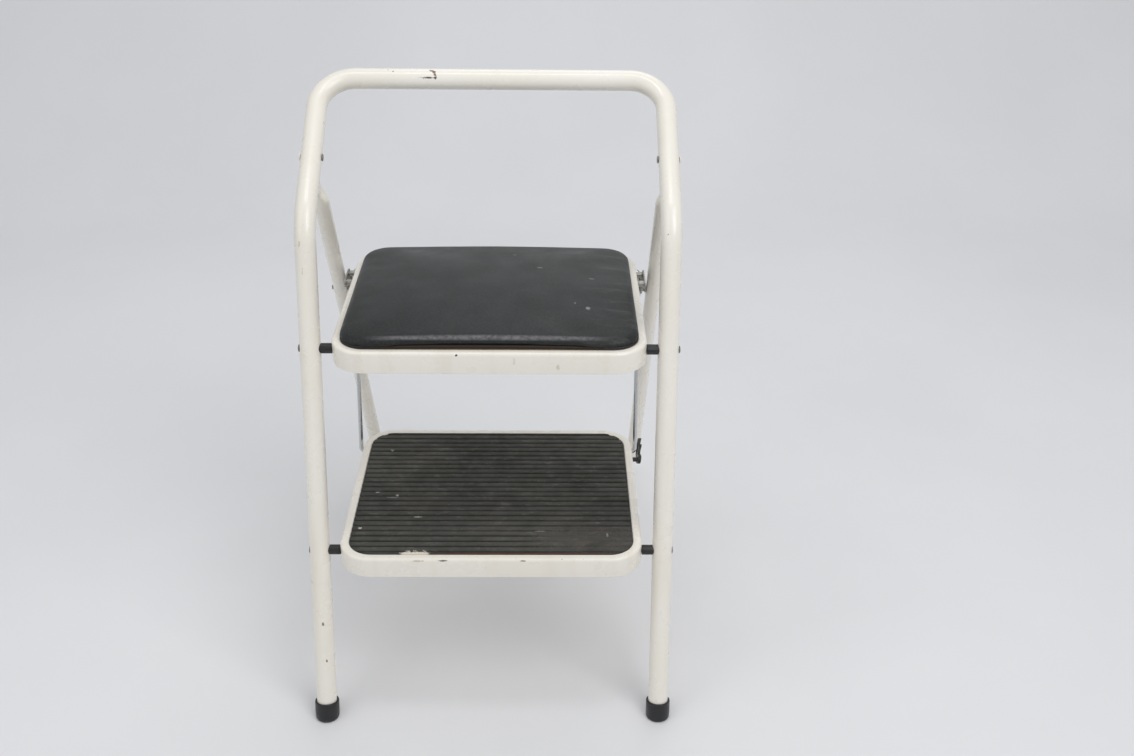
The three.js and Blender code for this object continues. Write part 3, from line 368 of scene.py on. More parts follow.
# Materials: node trees that read Object coordinates
class Shading:
    """A material's node tree, with short ways to add and link its nodes."""

    def __init__(self, name, colour, roughness, metallic=0.0):
        self.material = bpy.data.materials.new(name)
        self.material.use_nodes = True
        self.tree = self.material.node_tree
        self.shader = self.tree.nodes["Principled BSDF"]
        self.shader.inputs["Base Color"].default_value = (*colour, 1)
        self.shader.inputs["Roughness"].default_value = roughness
        self.shader.inputs["Metallic"].default_value = metallic
        self.place = self.tree.nodes.new("ShaderNodeTexCoord").outputs["Object"]

    def node(self, kind, **settings):
        made = self.tree.nodes.new("ShaderNode" + kind)
        for key, value in settings.items():
            setattr(made, key, value)
        return made

    def link(self, source, target):
        self.tree.links.new(source, target)

    def stretched(self, scale=(1, 1, 1), offset=(0, 0, 0)):
        mapping = self.node("Mapping")
        mapping.inputs["Scale"].default_value = scale
        mapping.inputs["Location"].default_value = offset
        self.link(self.place, mapping.inputs["Vector"])
        return mapping.outputs[0]

    def noise(self, scale, detail=3, rough=0.55, place=None, distortion=0.0):
        made = self.node("TexNoise")
        for name, number in (
                ("Scale", scale), ("Detail", detail), ("Roughness", rough), ("Distortion", distortion)):
            made.inputs[name].default_value = number
        self.link(place or self.place, made.inputs["Vector"])
        return made.outputs["Fac"]

    def cells(self, scale):
        """The distance to the nearest of scattered points."""
        made = self.node("TexVoronoi", feature="F1")
        made.inputs["Scale"].default_value = scale
        self.link(self.place, made.inputs["Vector"])
        return made.outputs["Distance"]

    def remap(self, value, low, high, to_low=0.0, to_high=1.0):
        """The value carried softly from low and high to two others."""
        made = self.node("MapRange", interpolation_type="SMOOTHSTEP")
        for name, number in (("From Min", low), ("From Max", high), ("To Min", to_low), ("To Max", to_high)):
            made.inputs[name].default_value = number
        self.link(value, made.inputs["Value"])
        return made.outputs["Result"]

    def fade(self, value, low, high):
        """1 up to low, 0 from high on."""
        return self.remap(value, low, high, 1.0, 0.0)

    def maths(self, operation, a, b=None):
        made = self.node("Math", operation=operation)
        for socket, value in zip(made.inputs, (a, b)):
            if isinstance(value, (int, float)):
                socket.default_value = value
            elif value is not None:
                self.link(value, socket)
        return made.outputs[0]

    def both(self, *factors):
        """The factors multiplied together."""
        return functools.reduce(functools.partial(self.maths, "MULTIPLY"), factors)

    def mix(self, factor, a, b):
        made = self.node("Mix", data_type="RGBA")
        self.link(factor, made.inputs["Factor"])
        for socket, value in ((made.inputs[6], a), (made.inputs[7], b)):
            if isinstance(value, tuple):
                socket.default_value = (*value[:3], 1)
            else:
                self.link(value, socket)
        return made.outputs[2]

    def over(self, under, colour, *factors):
        """A colour laid over what is under it, as thickly as the factors' product says."""
        return self.mix(self.both(*factors), under, colour)

    def axis(self, index):
        """One coordinate of the place: 0 is sideways, 1 back, 2 up."""
        parts = self.node("SeparateXYZ")
        self.link(self.place, parts.inputs[0])
        return parts.outputs[index]

    def away(self, value, middle):
        """How far a value is from its middle."""
        return self.maths("ABSOLUTE", self.maths("SUBTRACT", value, middle))

    def spot(self, where, size, stretch):
        """1 inside a ragged spot at a place, fading to 0 outside."""
        place = self.place
        for operation, by in (("SUBTRACT", where), ("MULTIPLY", stretch)):
            moved = self.node("VectorMath", operation=operation)
            moved.inputs[1].default_value = by
            self.link(place, moved.inputs[0])
            place = moved.outputs[0]
        length = self.node("VectorMath", operation="LENGTH")
        self.link(place, length.inputs[0])
        ragged = self.both(self.noise(420, 3), size * 1.3)
        reach = self.maths("ADD", length.outputs["Value"], ragged)
        return self.fade(reach, size * 1.15, size * 1.55)

    def marked(self, source, marks):
        """The colour with a ragged spot over it for every mark."""
        for where, size, stretch, colour in marks:
            source = self.over(source, colour, self.spot(where, size, stretch))
        return source

    def bump(self, height, strength, distance):
        made = self.node("Bump")
        made.inputs["Strength"].default_value = strength
        made.inputs["Distance"].default_value = distance
        self.link(height, made.inputs["Height"])
        before = self.shader.inputs["Normal"]
        if before.is_linked:
            self.link(before.links[0].from_socket, made.inputs["Normal"])
        self.link(made.outputs[0], before)

    def colour(self, source):
        self.link(source, self.shader.inputs["Base Color"])

    def roughness(self, source, low, high, smoothest, roughest):
        self.link(self.remap(source, low, high, smoothest, roughest), self.shader.inputs["Roughness"])

    def coat(self, weight, roughness):
        self.shader.inputs["Coat Weight"].default_value = weight
        self.shader.inputs["Coat Roughness"].default_value = roughness


def tinted(colour, factor):
    """A colour with each channel multiplied."""
    return tuple(min(1.0, c * f) for c, f in zip(colour, factor))


CHIPPED = (0.10, 0.055, 0.03)


@functools.cache
def enamel(name="cream_enamel", marks=()):
    """Glossy brushed-on enamel: faint mottling and upright streaks, sparse pin chips and marks at places."""
    base = tuple(finish().paint)
    s = Shading(name, base, 0.3)
    worn = s.over(base, tinted(base, (0.97, 0.96, 0.93)), s.remap(s.noise(6, 2), 0.2, 0.8))
    streaks = s.remap(s.noise(60, 1, 0.5, s.stretched((1, 0.3, 0.05))), 0.45, 0.80)
    below_bar = s.fade(s.axis(2), 0.690, 0.715)
    worn = s.over(worn, tinted(base, (0.88, 0.85, 0.79)), streaks, below_bar, 0.4)
    dirt = s.both(s.remap(s.noise(45, 3, 0.6), 0.50, 0.85), s.remap(s.noise(8, 2), 0.45, 0.75))
    worn = s.over(worn, tinted(base, (0.72, 0.66, 0.54)), dirt, 0.30)
    sparse = s.remap(s.noise(17, 2, place=s.stretched(offset=(3, 1, 2))), 0.60, 0.64)
    chips = s.both(s.remap(s.cells(38), 0.045, 0.030), sparse)
    worn = s.over(worn, CHIPPED, chips)
    s.colour(s.marked(worn, marks))
    s.roughness(s.noise(30, 3), 0.3, 0.75, 0.24, 0.38)
    s.bump(s.noise(40, 1), 0.05, 0.0006)
    s.bump(chips, 0.5, -0.0004)
    s.coat(0.35, 0.12)
    return s.material


SCUFFED, SCRATCHED, STREAKED = (0.22, 0.22, 0.21), (0.13, 0.13, 0.13), (0.12, 0.12, 0.115)
# Grain specks, a painted ridge highlight, and the board's brown darkened with painted shade of the gap
GRAIN, PAINTED_RIDGE_HIGHLIGHT, BOARD_BROWN_AND_GAP_SHADE = (0.075, 0.075, 0.072), (0.165, 0.162, 0.168), (0.026, 0.019, 0.013)
RIDGE_BACK = 0.0155


@functools.cache
def vinyl():
    """Near-black vinyl: fine grain, dust-pale scuffs, painted sheen that grows towards the rear, a painted
    highlight along the front ridge, and low in front the board's brown darkened with painted gap shade.

    The painted highlight lies RIDGE_BACK behind the tray's front edge."""
    base = tuple(finish().vinyl)
    s = Shading("black_vinyl", base, 0.42)
    dust_and_sheen = s.over(base, tinted(base, (1.45, 1.45, 1.4)), s.remap(s.noise(7, 5, 0.65), 0.35, 0.75))
    # Painted sheen: the vinyl made lighter towards the rear, in soft patches
    painted_sheen_to_rear = s.remap(s.axis(1), -0.17, 0.07)
    sheen_patches = s.remap(s.noise(5, 3), 0.25, 0.65, 0.5, 1.0)
    dust_and_sheen = s.over(dust_and_sheen, tinted(base, (2.6, 2.6, 2.4)), painted_sheen_to_rear, sheen_patches)
    specks = s.remap(s.cells(70), 0.06, 0.03)
    sparse = s.remap(s.noise(11, 2, place=s.stretched(offset=(5, 2, 0))), 0.55, 0.62)
    dust_and_sheen = s.over(dust_and_sheen, SCUFFED, specks, sparse, 0.55)
    scratches = s.remap(s.noise(24, 6, 0.75, s.stretched((1, 4, 1))), 0.66, 0.74)
    dust_and_sheen = s.over(dust_and_sheen, SCRATCHED, scratches, 0.35)
    dust_and_sheen = s.over(dust_and_sheen, GRAIN, s.remap(s.noise(340, 4, 0.8), 0.42, 0.68), 0.22)
    streaks = s.remap(s.noise(26, 5, 0.7, s.stretched((0.5, 2.2, 1), (1, 4, 0))), 0.52, 0.68)
    dust_and_sheen = s.over(dust_and_sheen, STREAKED, streaks, s.remap(s.axis(0), 0.10, 0.15), 0.35)
    dust_and_sheen = s.marked(dust_and_sheen, PAD_MARKS)
    rim, front = SEAT_BOX[1][2], SEAT_BOX[0][1]
    height, back, from_middle = s.axis(2), s.axis(1), s.maths("ABSOLUTE", s.axis(0))
    # Painted highlight: a pale band along the top of the front shoulder, RIDGE_BACK behind the front edge,
    # fading out towards the sides
    dust_and_sheen = s.over(
        dust_and_sheen, PAINTED_RIDGE_HIGHLIGHT, s.fade(s.away(back, front + RIDGE_BACK), 0.0008, 0.0052),
        s.fade(from_middle, 0.10, 0.155), s.remap(height, rim + 0.0095, rim + 0.0120),
        s.remap(s.noise(230, 4, 0.75), 0.30, 0.65, 0.30, 1.0), 0.95)
    # The board's brown darkened with painted shade of the gap, low in front under the lifted edge of the pad
    s.colour(s.over(
        dust_and_sheen, BOARD_BROWN_AND_GAP_SHADE, s.fade(height, rim + 0.0040, rim + 0.0052), s.fade(back, front + 0.016, front + 0.020),
        s.fade(from_middle, 0.11, 0.15)))
    s.roughness(s.noise(16, 4), 0.3, 0.7, 0.36, 0.50)
    s.bump(s.cells(820), 0.35, 0.00025)
    s.bump(s.noise(1500, 2), 0.2, 0.0001)
    s.bump(s.noise(14, 3), 0.12, 0.002)
    s.shader.inputs["Specular IOR Level"].default_value = 0.18
    s.coat(0.10, 0.24)
    return s.material


WORN_CORNER = (0.120, -0.222, 0.2373)
DUSTED, TRODDEN, SCORED = (0.16, 0.155, 0.14), (0.080, 0.066, 0.055), (0.2, 0.19, 0.17)


@functools.cache
def rubber():
    """Matt black rubber: grooves darkened with painted shade, paler worn ribs flecked with dust, and a few
    scratches.

    The distance along y in rib pitches has a groove's middle at each half."""
    base = tuple(finish().rubber)
    s = Shading("black_rubber", base, 0.8)
    from_middle = s.maths("SUBTRACT", s.axis(1), float(centre_of("step_mat")[1]))
    pitches = s.maths("DIVIDE", from_middle, sizes().rib_pitch)
    from_groove = s.away(s.maths("FRACT", pitches), 0.5)
    worn_here = s.spot(WORN_CORNER, 0.034, (0.34, 1, 1))
    rib = s.maths("MAXIMUM", s.remap(from_groove, 0.09, 0.21), s.both(worn_here, 0.9))
    patchy = s.remap(s.noise(6, 5, 0.7), 0.3, 0.7)
    worn = s.mix(patchy, tinted(base, (1.3, 1.3, 1.25)), tinted(base, (2.2, 2.15, 2.0)))
    flecks = s.remap(s.noise(110, 5, 0.8, s.stretched((0.45, 1, 1))), 0.50, 0.72)
    worn = s.over(worn, DUSTED, flecks, 0.45)
    # Painted shade: the grooves get the base darkened to 0.3 of itself, the ribs keep their worn colour
    worn = s.mix(rib, tinted(base, (0.30, 0.28, 0.26)), worn)
    worn = s.over(worn, TRODDEN, s.remap(s.noise(70, 6, 0.75), 0.35, 0.70), worn_here, 0.8)
    scratches = s.remap(s.noise(30, 5, 0.8, s.stretched((1, 6, 1), (2, 0, 1))), 0.70, 0.76)
    worn = s.over(worn, SCORED, scratches, 0.4)
    s.colour(s.marked(worn, MAT_MARKS))
    s.roughness(s.noise(40, 4), 0.3, 0.7, 0.62, 0.9)
    s.bump(s.noise(900, 3), 0.25, 0.0002)
    return s.material


@functools.cache
def plastic():
    """Black moulded plastic: satin, finely textured, with dull scuffs."""
    base = tuple(finish().plastic)
    s = Shading("black_plastic", base, 0.4)
    s.colour(s.over(base, (0.07, 0.068, 0.06), s.remap(s.noise(80, 5, 0.7), 0.55, 0.75), 0.5))
    s.roughness(s.noise(120, 3), 0.3, 0.7, 0.30, 0.48)
    s.bump(s.noise(1200, 2), 0.15, 0.0001)
    return s.material


@functools.cache
def zinc():
    """Zinc-plated steel: cloudy grey with fine draw lines and dull spots."""
    base = tuple(finish().zinc)
    s = Shading("zinc_steel", base, 0.4, 1.0)
    s.colour(s.over(base, tinted(base, (0.72, 0.70, 0.64)), s.remap(s.noise(160, 4), 0.4, 0.7)))
    s.roughness(s.noise(220, 4), 0.3, 0.7, 0.28, 0.5)
    s.bump(s.noise(700, 3, place=s.stretched((1, 0.1, 1))), 0.15, 0.0001)
    return s.material


@functools.cache
def chrome():
    """Bright plated wire: mirror-like with faint haze and pin rust."""
    base = tuple(finish().chrome)
    s = Shading("chrome_steel", base, 0.15, 1.0)
    s.colour(s.over(base, (0.20, 0.12, 0.07), s.remap(s.noise(190, 5, 0.75), 0.66, 0.74), 0.7))
    s.roughness(s.noise(90, 4), 0.3, 0.75, 0.10, 0.30)
    return s.material


@functools.cache
def plywood():
    """Birch plywood: long grain waves over pale tan, with darker plies through the thickness."""
    s = Shading("plywood", (0.48, 0.33, 0.19), 0.7)
    grain = s.noise(60, 6, 0.6, s.stretched((0.12, 1, 1)), 1.2)
    plies = s.node("TexWave", bands_direction="Z")
    plies.inputs["Scale"].default_value = 260
    s.link(s.place, plies.inputs["Vector"])
    tone = s.mix(s.remap(grain, 0.3, 0.7), (0.52, 0.37, 0.21), (0.40, 0.26, 0.13))
    s.colour(s.over(tone, (0.28, 0.17, 0.08), plies.outputs["Fac"], 0.3))
    s.bump(grain, 0.2, 0.0003)
    return s.material


def coated(obj, material):
    """Gives a piece its only material."""
    obj.data.materials.clear()
    obj.data.materials.append(material)


def dressed(obj, material, body, *nodes):
    """Gives a piece its material and its body, and puts it in place of CAD nodes."""
    coated(obj, material)
    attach(obj, body)
    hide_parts(*nodes)


def eased_copy(node, name, width, material, body):
    """A CAD node in its own form, with its edges rounded over a width."""
    dressed(sharpened(bevelled(merged_copy(node, name), width), degrees=30), material, body, node)


# Where the enamel is marked: place, size, stretch and colour of each spot
RUST, DARK, FAINT = (0.24, 0.165, 0.12), (0.035, 0.030, 0.028), (0.60, 0.54, 0.44)
RUSTY_NICK = (0.22, 0.16, 0.12)
FRONT_MARKS = (
    ((-0.0742, 0.0455, 0.7460), 0.0024, (0.55, 1, 1), RUST),
    ((-0.0712, 0.0435, 0.7447), 0.0030, (1, 0.9, 0.8), RUST),
    ((-0.0702, 0.0410, 0.7424), 0.0024, (1, 0.9, 0.8), RUST),
    ((-0.0694, 0.0388, 0.7392), 0.0025, (1, 1, 1), (0.09, 0.07, 0.06)),
    ((-0.0785, 0.0388, 0.7392), 0.0016, (0.14, 1, 1), (0.10, 0.09, 0.08)),
    ((-0.1214, 0.0437, 0.7452), 0.0016, (1, 1, 1), (0.32, 0.28, 0.24)),
    ((-0.1277, 0.0461, 0.7463), 0.0013, (1, 1, 1), (0.40, 0.36, 0.30)),
    ((0.0174, 0.0469, 0.7225), 0.0018, (0.22, 1, 1), DARK),
    ((0.2069, -0.1358, 0.6082), 0.0021, (1, 1, 0.55), (0.20, 0.15, 0.11)),
    ((-0.2173, -0.1397, 0.5949), 0.0016, (1.3, 1, 0.20), FAINT),
    ((-0.2150, -0.1480, 0.5600), 0.0018, (1.3, 1, 0.16), FAINT),
    ((-0.2106, -0.2615, 0.1340), 0.0019, (1, 1, 0.5), RUST),
    ((-0.2080, -0.2738, 0.0841), 0.0016, (1, 1, 0.6), RUST),
    ((-0.2007, -0.0111, 0.6972), 0.0016, (1, 1, 0.6), FAINT),
)
SEAT_MARKS = (
    ((-0.0371, -0.1983, 0.4819), 0.0019, (0.9, 1, 1), DARK),
    ((0.0809, -0.1983, 0.4668), 0.0032, (1.2, 1, 0.6), (0.66, 0.61, 0.52)),
    ((0.0300, -0.1983, 0.4740), 0.0026, (1.2, 1, 0.4), (0.74, 0.70, 0.62)),
)
STEP_MARKS = (
    ((0.0200, -0.2522, 0.2366), 0.0014, (0.010, 1, 1), (0.16, 0.085, 0.05)),
    ((-0.0570, -0.2632, 0.2345), 0.0016, (0.22, 1, 1), (0.16, 0.14, 0.12)),
    ((-0.0880, -0.2632, 0.2343), 0.0018, (0.18, 1, 1), FAINT),
    ((0.0400, -0.2632, 0.2345), 0.0015, (0.30, 1, 1), (0.34, 0.28, 0.22)),
    ((0.0870, -0.2618, 0.2366), 0.0012, (0.7, 1, 1), RUSTY_NICK),
    ((0.1130, -0.2618, 0.2366), 0.0010, (0.7, 1, 1), RUSTY_NICK),
)

# Scuffs of the pad, and the mat's patch of cream paint, brown front edge and scuffs
PAD_MARKS = (
    ((0.0586, -0.0070, 0.5040), 0.0028, (0.6, 1, 0.1), (0.16, 0.16, 0.155)),
    ((0.0253, 0.0406, 0.5040), 0.0024, (0.8, 1, 0.1), (0.13, 0.13, 0.13)),
    ((0.1173, -0.1174, 0.5040), 0.0034, (0.9, 0.7, 0.1), (0.22, 0.22, 0.21)),
    ((0.1020, -0.1060, 0.5040), 0.0018, (1, 1, 0.1), (0.20, 0.20, 0.19)),
    ((-0.1766, -0.1473, 0.5040), 0.0030, (0.5, 0.9, 0.1), (0.13, 0.13, 0.125)),
    ((0.1240, -0.0330, 0.5040), 0.0026, (0.5, 1, 0.1), (0.14, 0.14, 0.135)),
)
CREAM = (0.78, 0.73, 0.62)
MAT_MARKS = (
    ((0.0450, -0.2516, 0.2368), 0.0026, (0.016, 1, 1), (0.085, 0.040, 0.024)),
    *(((x, -0.2520, 0.2368), 0.0068, (0.58, 1, 1), CREAM) for x in (-0.1000, -0.0915, -0.0830)),
    ((-0.1526, -0.1223, 0.2373), 0.0026, (0.7, 1, 0.2), (0.38, 0.36, 0.31)),
    ((-0.1270, -0.1291, 0.2373), 0.0018, (0.7, 1, 0.2), (0.30, 0.29, 0.25)),
    ((-0.1320, -0.1345, 0.2373), 0.0014, (0.14, 0.8, 0.2), (0.16, 0.16, 0.14)),
    ((-0.1653, -0.2009, 0.2373), 0.0022, (0.8, 1, 0.2), (0.55, 0.53, 0.47)),
    ((-0.0950, -0.1774, 0.2373), 0.0018, (0.25, 1, 0.2), (0.32, 0.31, 0.27)),
    ((-0.1450, -0.0210, 0.2373), 0.0020, (0.6, 1, 0.2), (0.26, 0.25, 0.22)),
    ((0.0600, -0.2060, 0.2373), 0.0022, (0.22, 1, 0.2), (0.24, 0.22, 0.18)),
    ((0.1440, -0.2140, 0.2373), 0.0016, (1, 0.3, 0.2), (0.20, 0.19, 0.17)),
)


# Front frame
LEG_FOOT_HEIGHT = 0.008
TUBE_WALL = 0.0012
TUBE_SIDES = 48
BEND_STEPS = 20
LONGEST_STEP = 0.03
SLOT_ALONG = np.array([-0.0093, 0.0321])
SLOT_ACROSS = np.array([-0.0026, 0.0026])
SLOT_UNDER = np.array([0.00625, 0.0300])
DIMPLE_FLOOR = 0.2234
DIMPLE_SPAN = 0.0522
DIMPLE_SOFTNESS = 0.0005
DIMPLE_ALONG = (0.201, 0.243)
DIMPLE_STATIONS = 29
DIMPLE_CLEAR = 0.002


def front_route():
    """Corners of the front tube's centre line, up the left leg, over and down the right."""
    z = sizes()
    x = z.leg_spacing / 2
    kink = on_leg(z.kink_height)
    top_bar = np.array([0.0, FRONT_BOX[1][1] - z.front_tube / 2, FRONT_BOX[1][2] - z.front_tube / 2])
    foot = on_leg(LEG_FOOT_HEIGHT)
    left = [foot - X * x, kink - X * x, top_bar - X * x]
    return np.array(left + [p * [-1, 1, 1] for p in left[::-1]])


def slot_cutter(side):
    """A box in the underside of the front tube where the rear frame's flat end swings."""
    route = front_route()
    up = unit(route[2] - route[1])
    under = np.array([0.0, up[2], -up[1]])
    centre = REAR_HINGE + X * side * sizes().leg_spacing / 2
    return block(
        "slot", centre, np.outer(SLOT_ALONG, -up), np.outer(SLOT_ACROSS, X), np.outer(SLOT_UNDER, under))


def dimpled(rings, floor):
    """Tube rings with a round hollow pressed into each outer side at the step's pivot.

    r is the distance from the pivot's axis and q = floor + r squared / DIMPLE_SPAN; x becomes
    (x + q - square root of ((x - q) squared + DIMPLE_SOFTNESS squared)) / 2, the lower one of the two
    with a soft edge."""
    across, up = rings[..., 1] - STEP_PIVOT[1], rings[..., 2] - STEP_PIVOT[2]
    reach = floor + (across ** 2 + up ** 2) / DIMPLE_SPAN
    side = np.abs(rings[..., 0])
    pressed = (side + reach - np.sqrt((side - reach) ** 2 + DIMPLE_SOFTNESS ** 2)) / 2
    return np.concatenate([(np.sign(rings[..., 0]) * pressed)[..., None], rings[..., 1:]], -1)


def make_front_frame():
    """The tube's outer rings and, the other way round, its inner ones, closer together at the dimples."""
    z = sizes()
    route = front_route()
    bends = [z.kink_radius, z.top_radius, z.top_radius, z.kink_radius]
    points, ways = subdivided(*arc_points(route, bends, BEND_STEPS), LONGEST_STEP)
    low, high = (route[0] + LEG_UP * s for s in DIMPLE_ALONG)
    along = np.linspace(low, high, DIMPLE_STATIONS)
    away = np.abs(points[:, 2] - STEP_PIVOT[2]) > (high[2] - low[2]) / 2 + DIMPLE_CLEAR
    points, ways = points[away], ways[away]
    first = int(np.argmax(points[:, 2] > STEP_PIVOT[2]))
    last = len(points) - first
    mirrored = (along * [-1, 1, 1])[::-1]
    rising = np.tile(LEG_UP, (DIMPLE_STATIONS, 1))
    points = np.concatenate([points[:first], along, points[first:last], mirrored, points[last:]])
    ways = np.concatenate([ways[:first], rising, ways[first:last], -rising, ways[last:]])
    up = unit(route[2] - route[1])
    reference = np.array([0.0, -up[2], up[1]])
    radius = z.front_tube / 2
    outer = tube_rings(points, ways, reference, radius, TUBE_SIDES)
    inner = tube_rings(points[::-1], ways[::-1], reference, radius - TUBE_WALL, TUBE_SIDES)
    rings = [dimpled(outer, DIMPLE_FLOOR), dimpled(inner, DIMPLE_FLOOR - TUBE_WALL)]
    tube = shell("front_tube", np.concatenate(rings), wrap_rows=True)
    return sharpened(cut_with(tube, [slot_cutter(-1), slot_cutter(1)]), degrees=50)


class STOOL_OT_front_frame(bpy.types.Operator):
    """Sweep the arched front tube and cut the slots for the rear frame"""
    bl_idname = "stool.front_frame"
    bl_label = "Front frame"

    def execute(self, context):
        dressed(make_front_frame(), enamel("front_enamel", FRONT_MARKS), "front", "front_frame")
        return {"FINISHED"}


# Rear frame
FLAT_END = 0.009
FLAT_THICK = 0.002
FLAT_SQUARENESS = 0.35
THINNEST_END = 0.0004
PRESS_START = 0.057
PRESS_LENGTH = 0.020
REAR_SIDES = 40
# Distances down the leg from the hinge: round its end, along the flat, over the press, down the tube
REAR_STATIONS = np.concatenate([
    -FLAT_END * np.cos(np.linspace(0.35, math.pi / 2, 8)), np.linspace(0.012, 0.055, 6),
    np.linspace(0.057, 0.079, 15), np.linspace(0.10, 0.60, 15)])


def make_rear_frame():
    """A U of round tube whose ends are pressed flat.

    A ring is point + across * a(angle) + normal * b(angle), where a and b are powers of cosine and
    sine: power 1 and equal sizes where round, squarer and thin by wide where flat. Above the hinge the
    width follows a half circle of radius FLAT_END."""
    z = sizes()
    x = z.leg_spacing / 2
    radius = z.rear_tube / 2
    drop = (REAR_HINGE[2] - REAR_BOX[0][2] - radius) / -REAR_DOWN[2]
    leg = [REAR_HINGE + REAR_DOWN * s for s in (-FLAT_END, drop)]
    route = [leg[0] - X * x, leg[1] - X * x, leg[1] + X * x, leg[0] + X * x]
    points, ways = arc_points(route, [z.foot_radius, z.foot_radius], BEND_STEPS)
    left, right = (REAR_HINGE + REAR_DOWN * REAR_STATIONS[:, None] + X * x * side for side in (-1, 1))
    down = np.tile(REAR_DOWN, (len(REAR_STATIONS), 1))
    points = np.concatenate([points[:1], left, points[1:-1], right[::-1], points[-1:]])
    ways = np.concatenate([ways[:1], down, ways[1:-1], -down, ways[-1:]])
    normal = unit(np.cross(X, REAR_DOWN))
    s = (points - REAR_HINGE) @ REAR_DOWN
    share = eased((s - PRESS_START) / PRESS_LENGTH)
    thick = FLAT_THICK * (1 - share) + radius * share
    wide = FLAT_END * (1 - share) + radius * share
    end = np.sqrt(np.clip(1 - (np.minimum(s, 0) / FLAT_END) ** 2, THINNEST_END, 1))
    power = (FLAT_SQUARENESS * (1 - share) + share)[:, None]
    angle = np.linspace(0, 2 * math.pi, REAR_SIDES, endpoint=False)[None]
    a = np.sign(np.cos(angle)) * np.abs(np.cos(angle)) ** power * thick[:, None]
    b = np.sign(np.sin(angle)) * np.abs(np.sin(angle)) ** power * (wide * end)[:, None]
    across = np.cross(normal, ways)
    return shell("rear_tube", points[:, None] + across[:, None] * a[..., None] + normal * b[..., None])


class STOOL_OT_rear_frame(bpy.types.Operator):
    """Sweep the rear frame's U with its two flattened ends"""
    bl_idname = "stool.rear_frame"
    bl_label = "Rear frame"

    def execute(self, context):
        dressed(sharpened(make_rear_frame(), degrees=50), enamel(), "rear", "rear_frame")
        return {"FINISHED"}


# Trays
SHEET = 0.0012
PLATE_DROP = 0.0040
SKIRT_DEPTH = 0.0270
PLATE_MIDDLE = 0.150
MIDDLE_CORNER = 0.004
CORNER_GROWTH = 0.008
TRAY_BENDS = (0.0012, 0.0022, 0.0038, 0.0005, 0.0005, 0.0026, 0.0010, 0.0016)


def tray_profile(rim):
    """Inset and height below the rim of a tray's section, from the middle of its plate out over the rim,
    down the skirt, and back up inside, with every corner rounded."""
    corners = [
        (PLATE_MIDDLE, -PLATE_DROP), (rim, -PLATE_DROP), (rim, 0.0), (0.0, 0.0), (0.0, -SKIRT_DEPTH),
        (SHEET, -SKIRT_DEPTH), (SHEET, -SHEET), (rim - SHEET, -SHEET), (rim - SHEET, -PLATE_DROP - SHEET),
        (PLATE_MIDDLE, -PLATE_DROP - SHEET)]
    return arc_points(corners, TRAY_BENDS, steps=6)[0]


def make_tray(name, box):
    """The tray's section carried round a rounded rectangle: each ring is the outline at that inset and
    height, its corner radius less by the inset, down to a small one in the middle."""
    z = sizes()
    low, high = box
    rings = []
    for inset, height in tray_profile(z.rim_width):
        radius = z.pan_corner - inset
        if inset > z.rim_width / 2:
            radius = max(radius, MIDDLE_CORNER + CORNER_GROWTH * (1 - min(1.0, inset / PLATE_MIDDLE)))
        loop = outline(inset, radius, high[0], low[1], high[1], steps=14, runs=3)
        rings.append(np.column_stack([loop, np.full(len(loop), high[2] + height)]))
    return sharpened(shell(name, np.array(rings)[::-1]), degrees=40)


class STOOL_OT_trays(bpy.types.Operator):
    """Press the seat tray and the step tray"""
    bl_idname = "stool.trays"
    bl_label = "Trays"

    def execute(self, context):
        for body, box, marks in (("seat", SEAT_BOX, SEAT_MARKS), ("step", STEP_BOX, STEP_MARKS)):
            dressed(make_tray(f"{body}_tray", box), enamel(f"{body}_enamel", marks), body, f"{body}_pan")
        return {"FINISHED"}


# Seat pad: insets are from its own edge and heights from the tray's rim
PAD_CORNER = 0.034
PAD_SHOULDER = 0.0105
DRAWN_IN = 0.0016
FRONT_LIFT = 0.0042
LIFT_GONE_AT = 0.010
CORNER_FALL = 0.4
UNDERSIDE = ((0.0015, 0.0004), (0.0002, 0.0016))
TUCKED_STRIP = ((0.0040, 0.0004), (0.0014, 0.0004), (0.0008, 0.0010), (0.0010, 0.0040), (0.0040, 0.0060))
CROWN_SHARES = np.linspace(0.93, 0.06, 15)


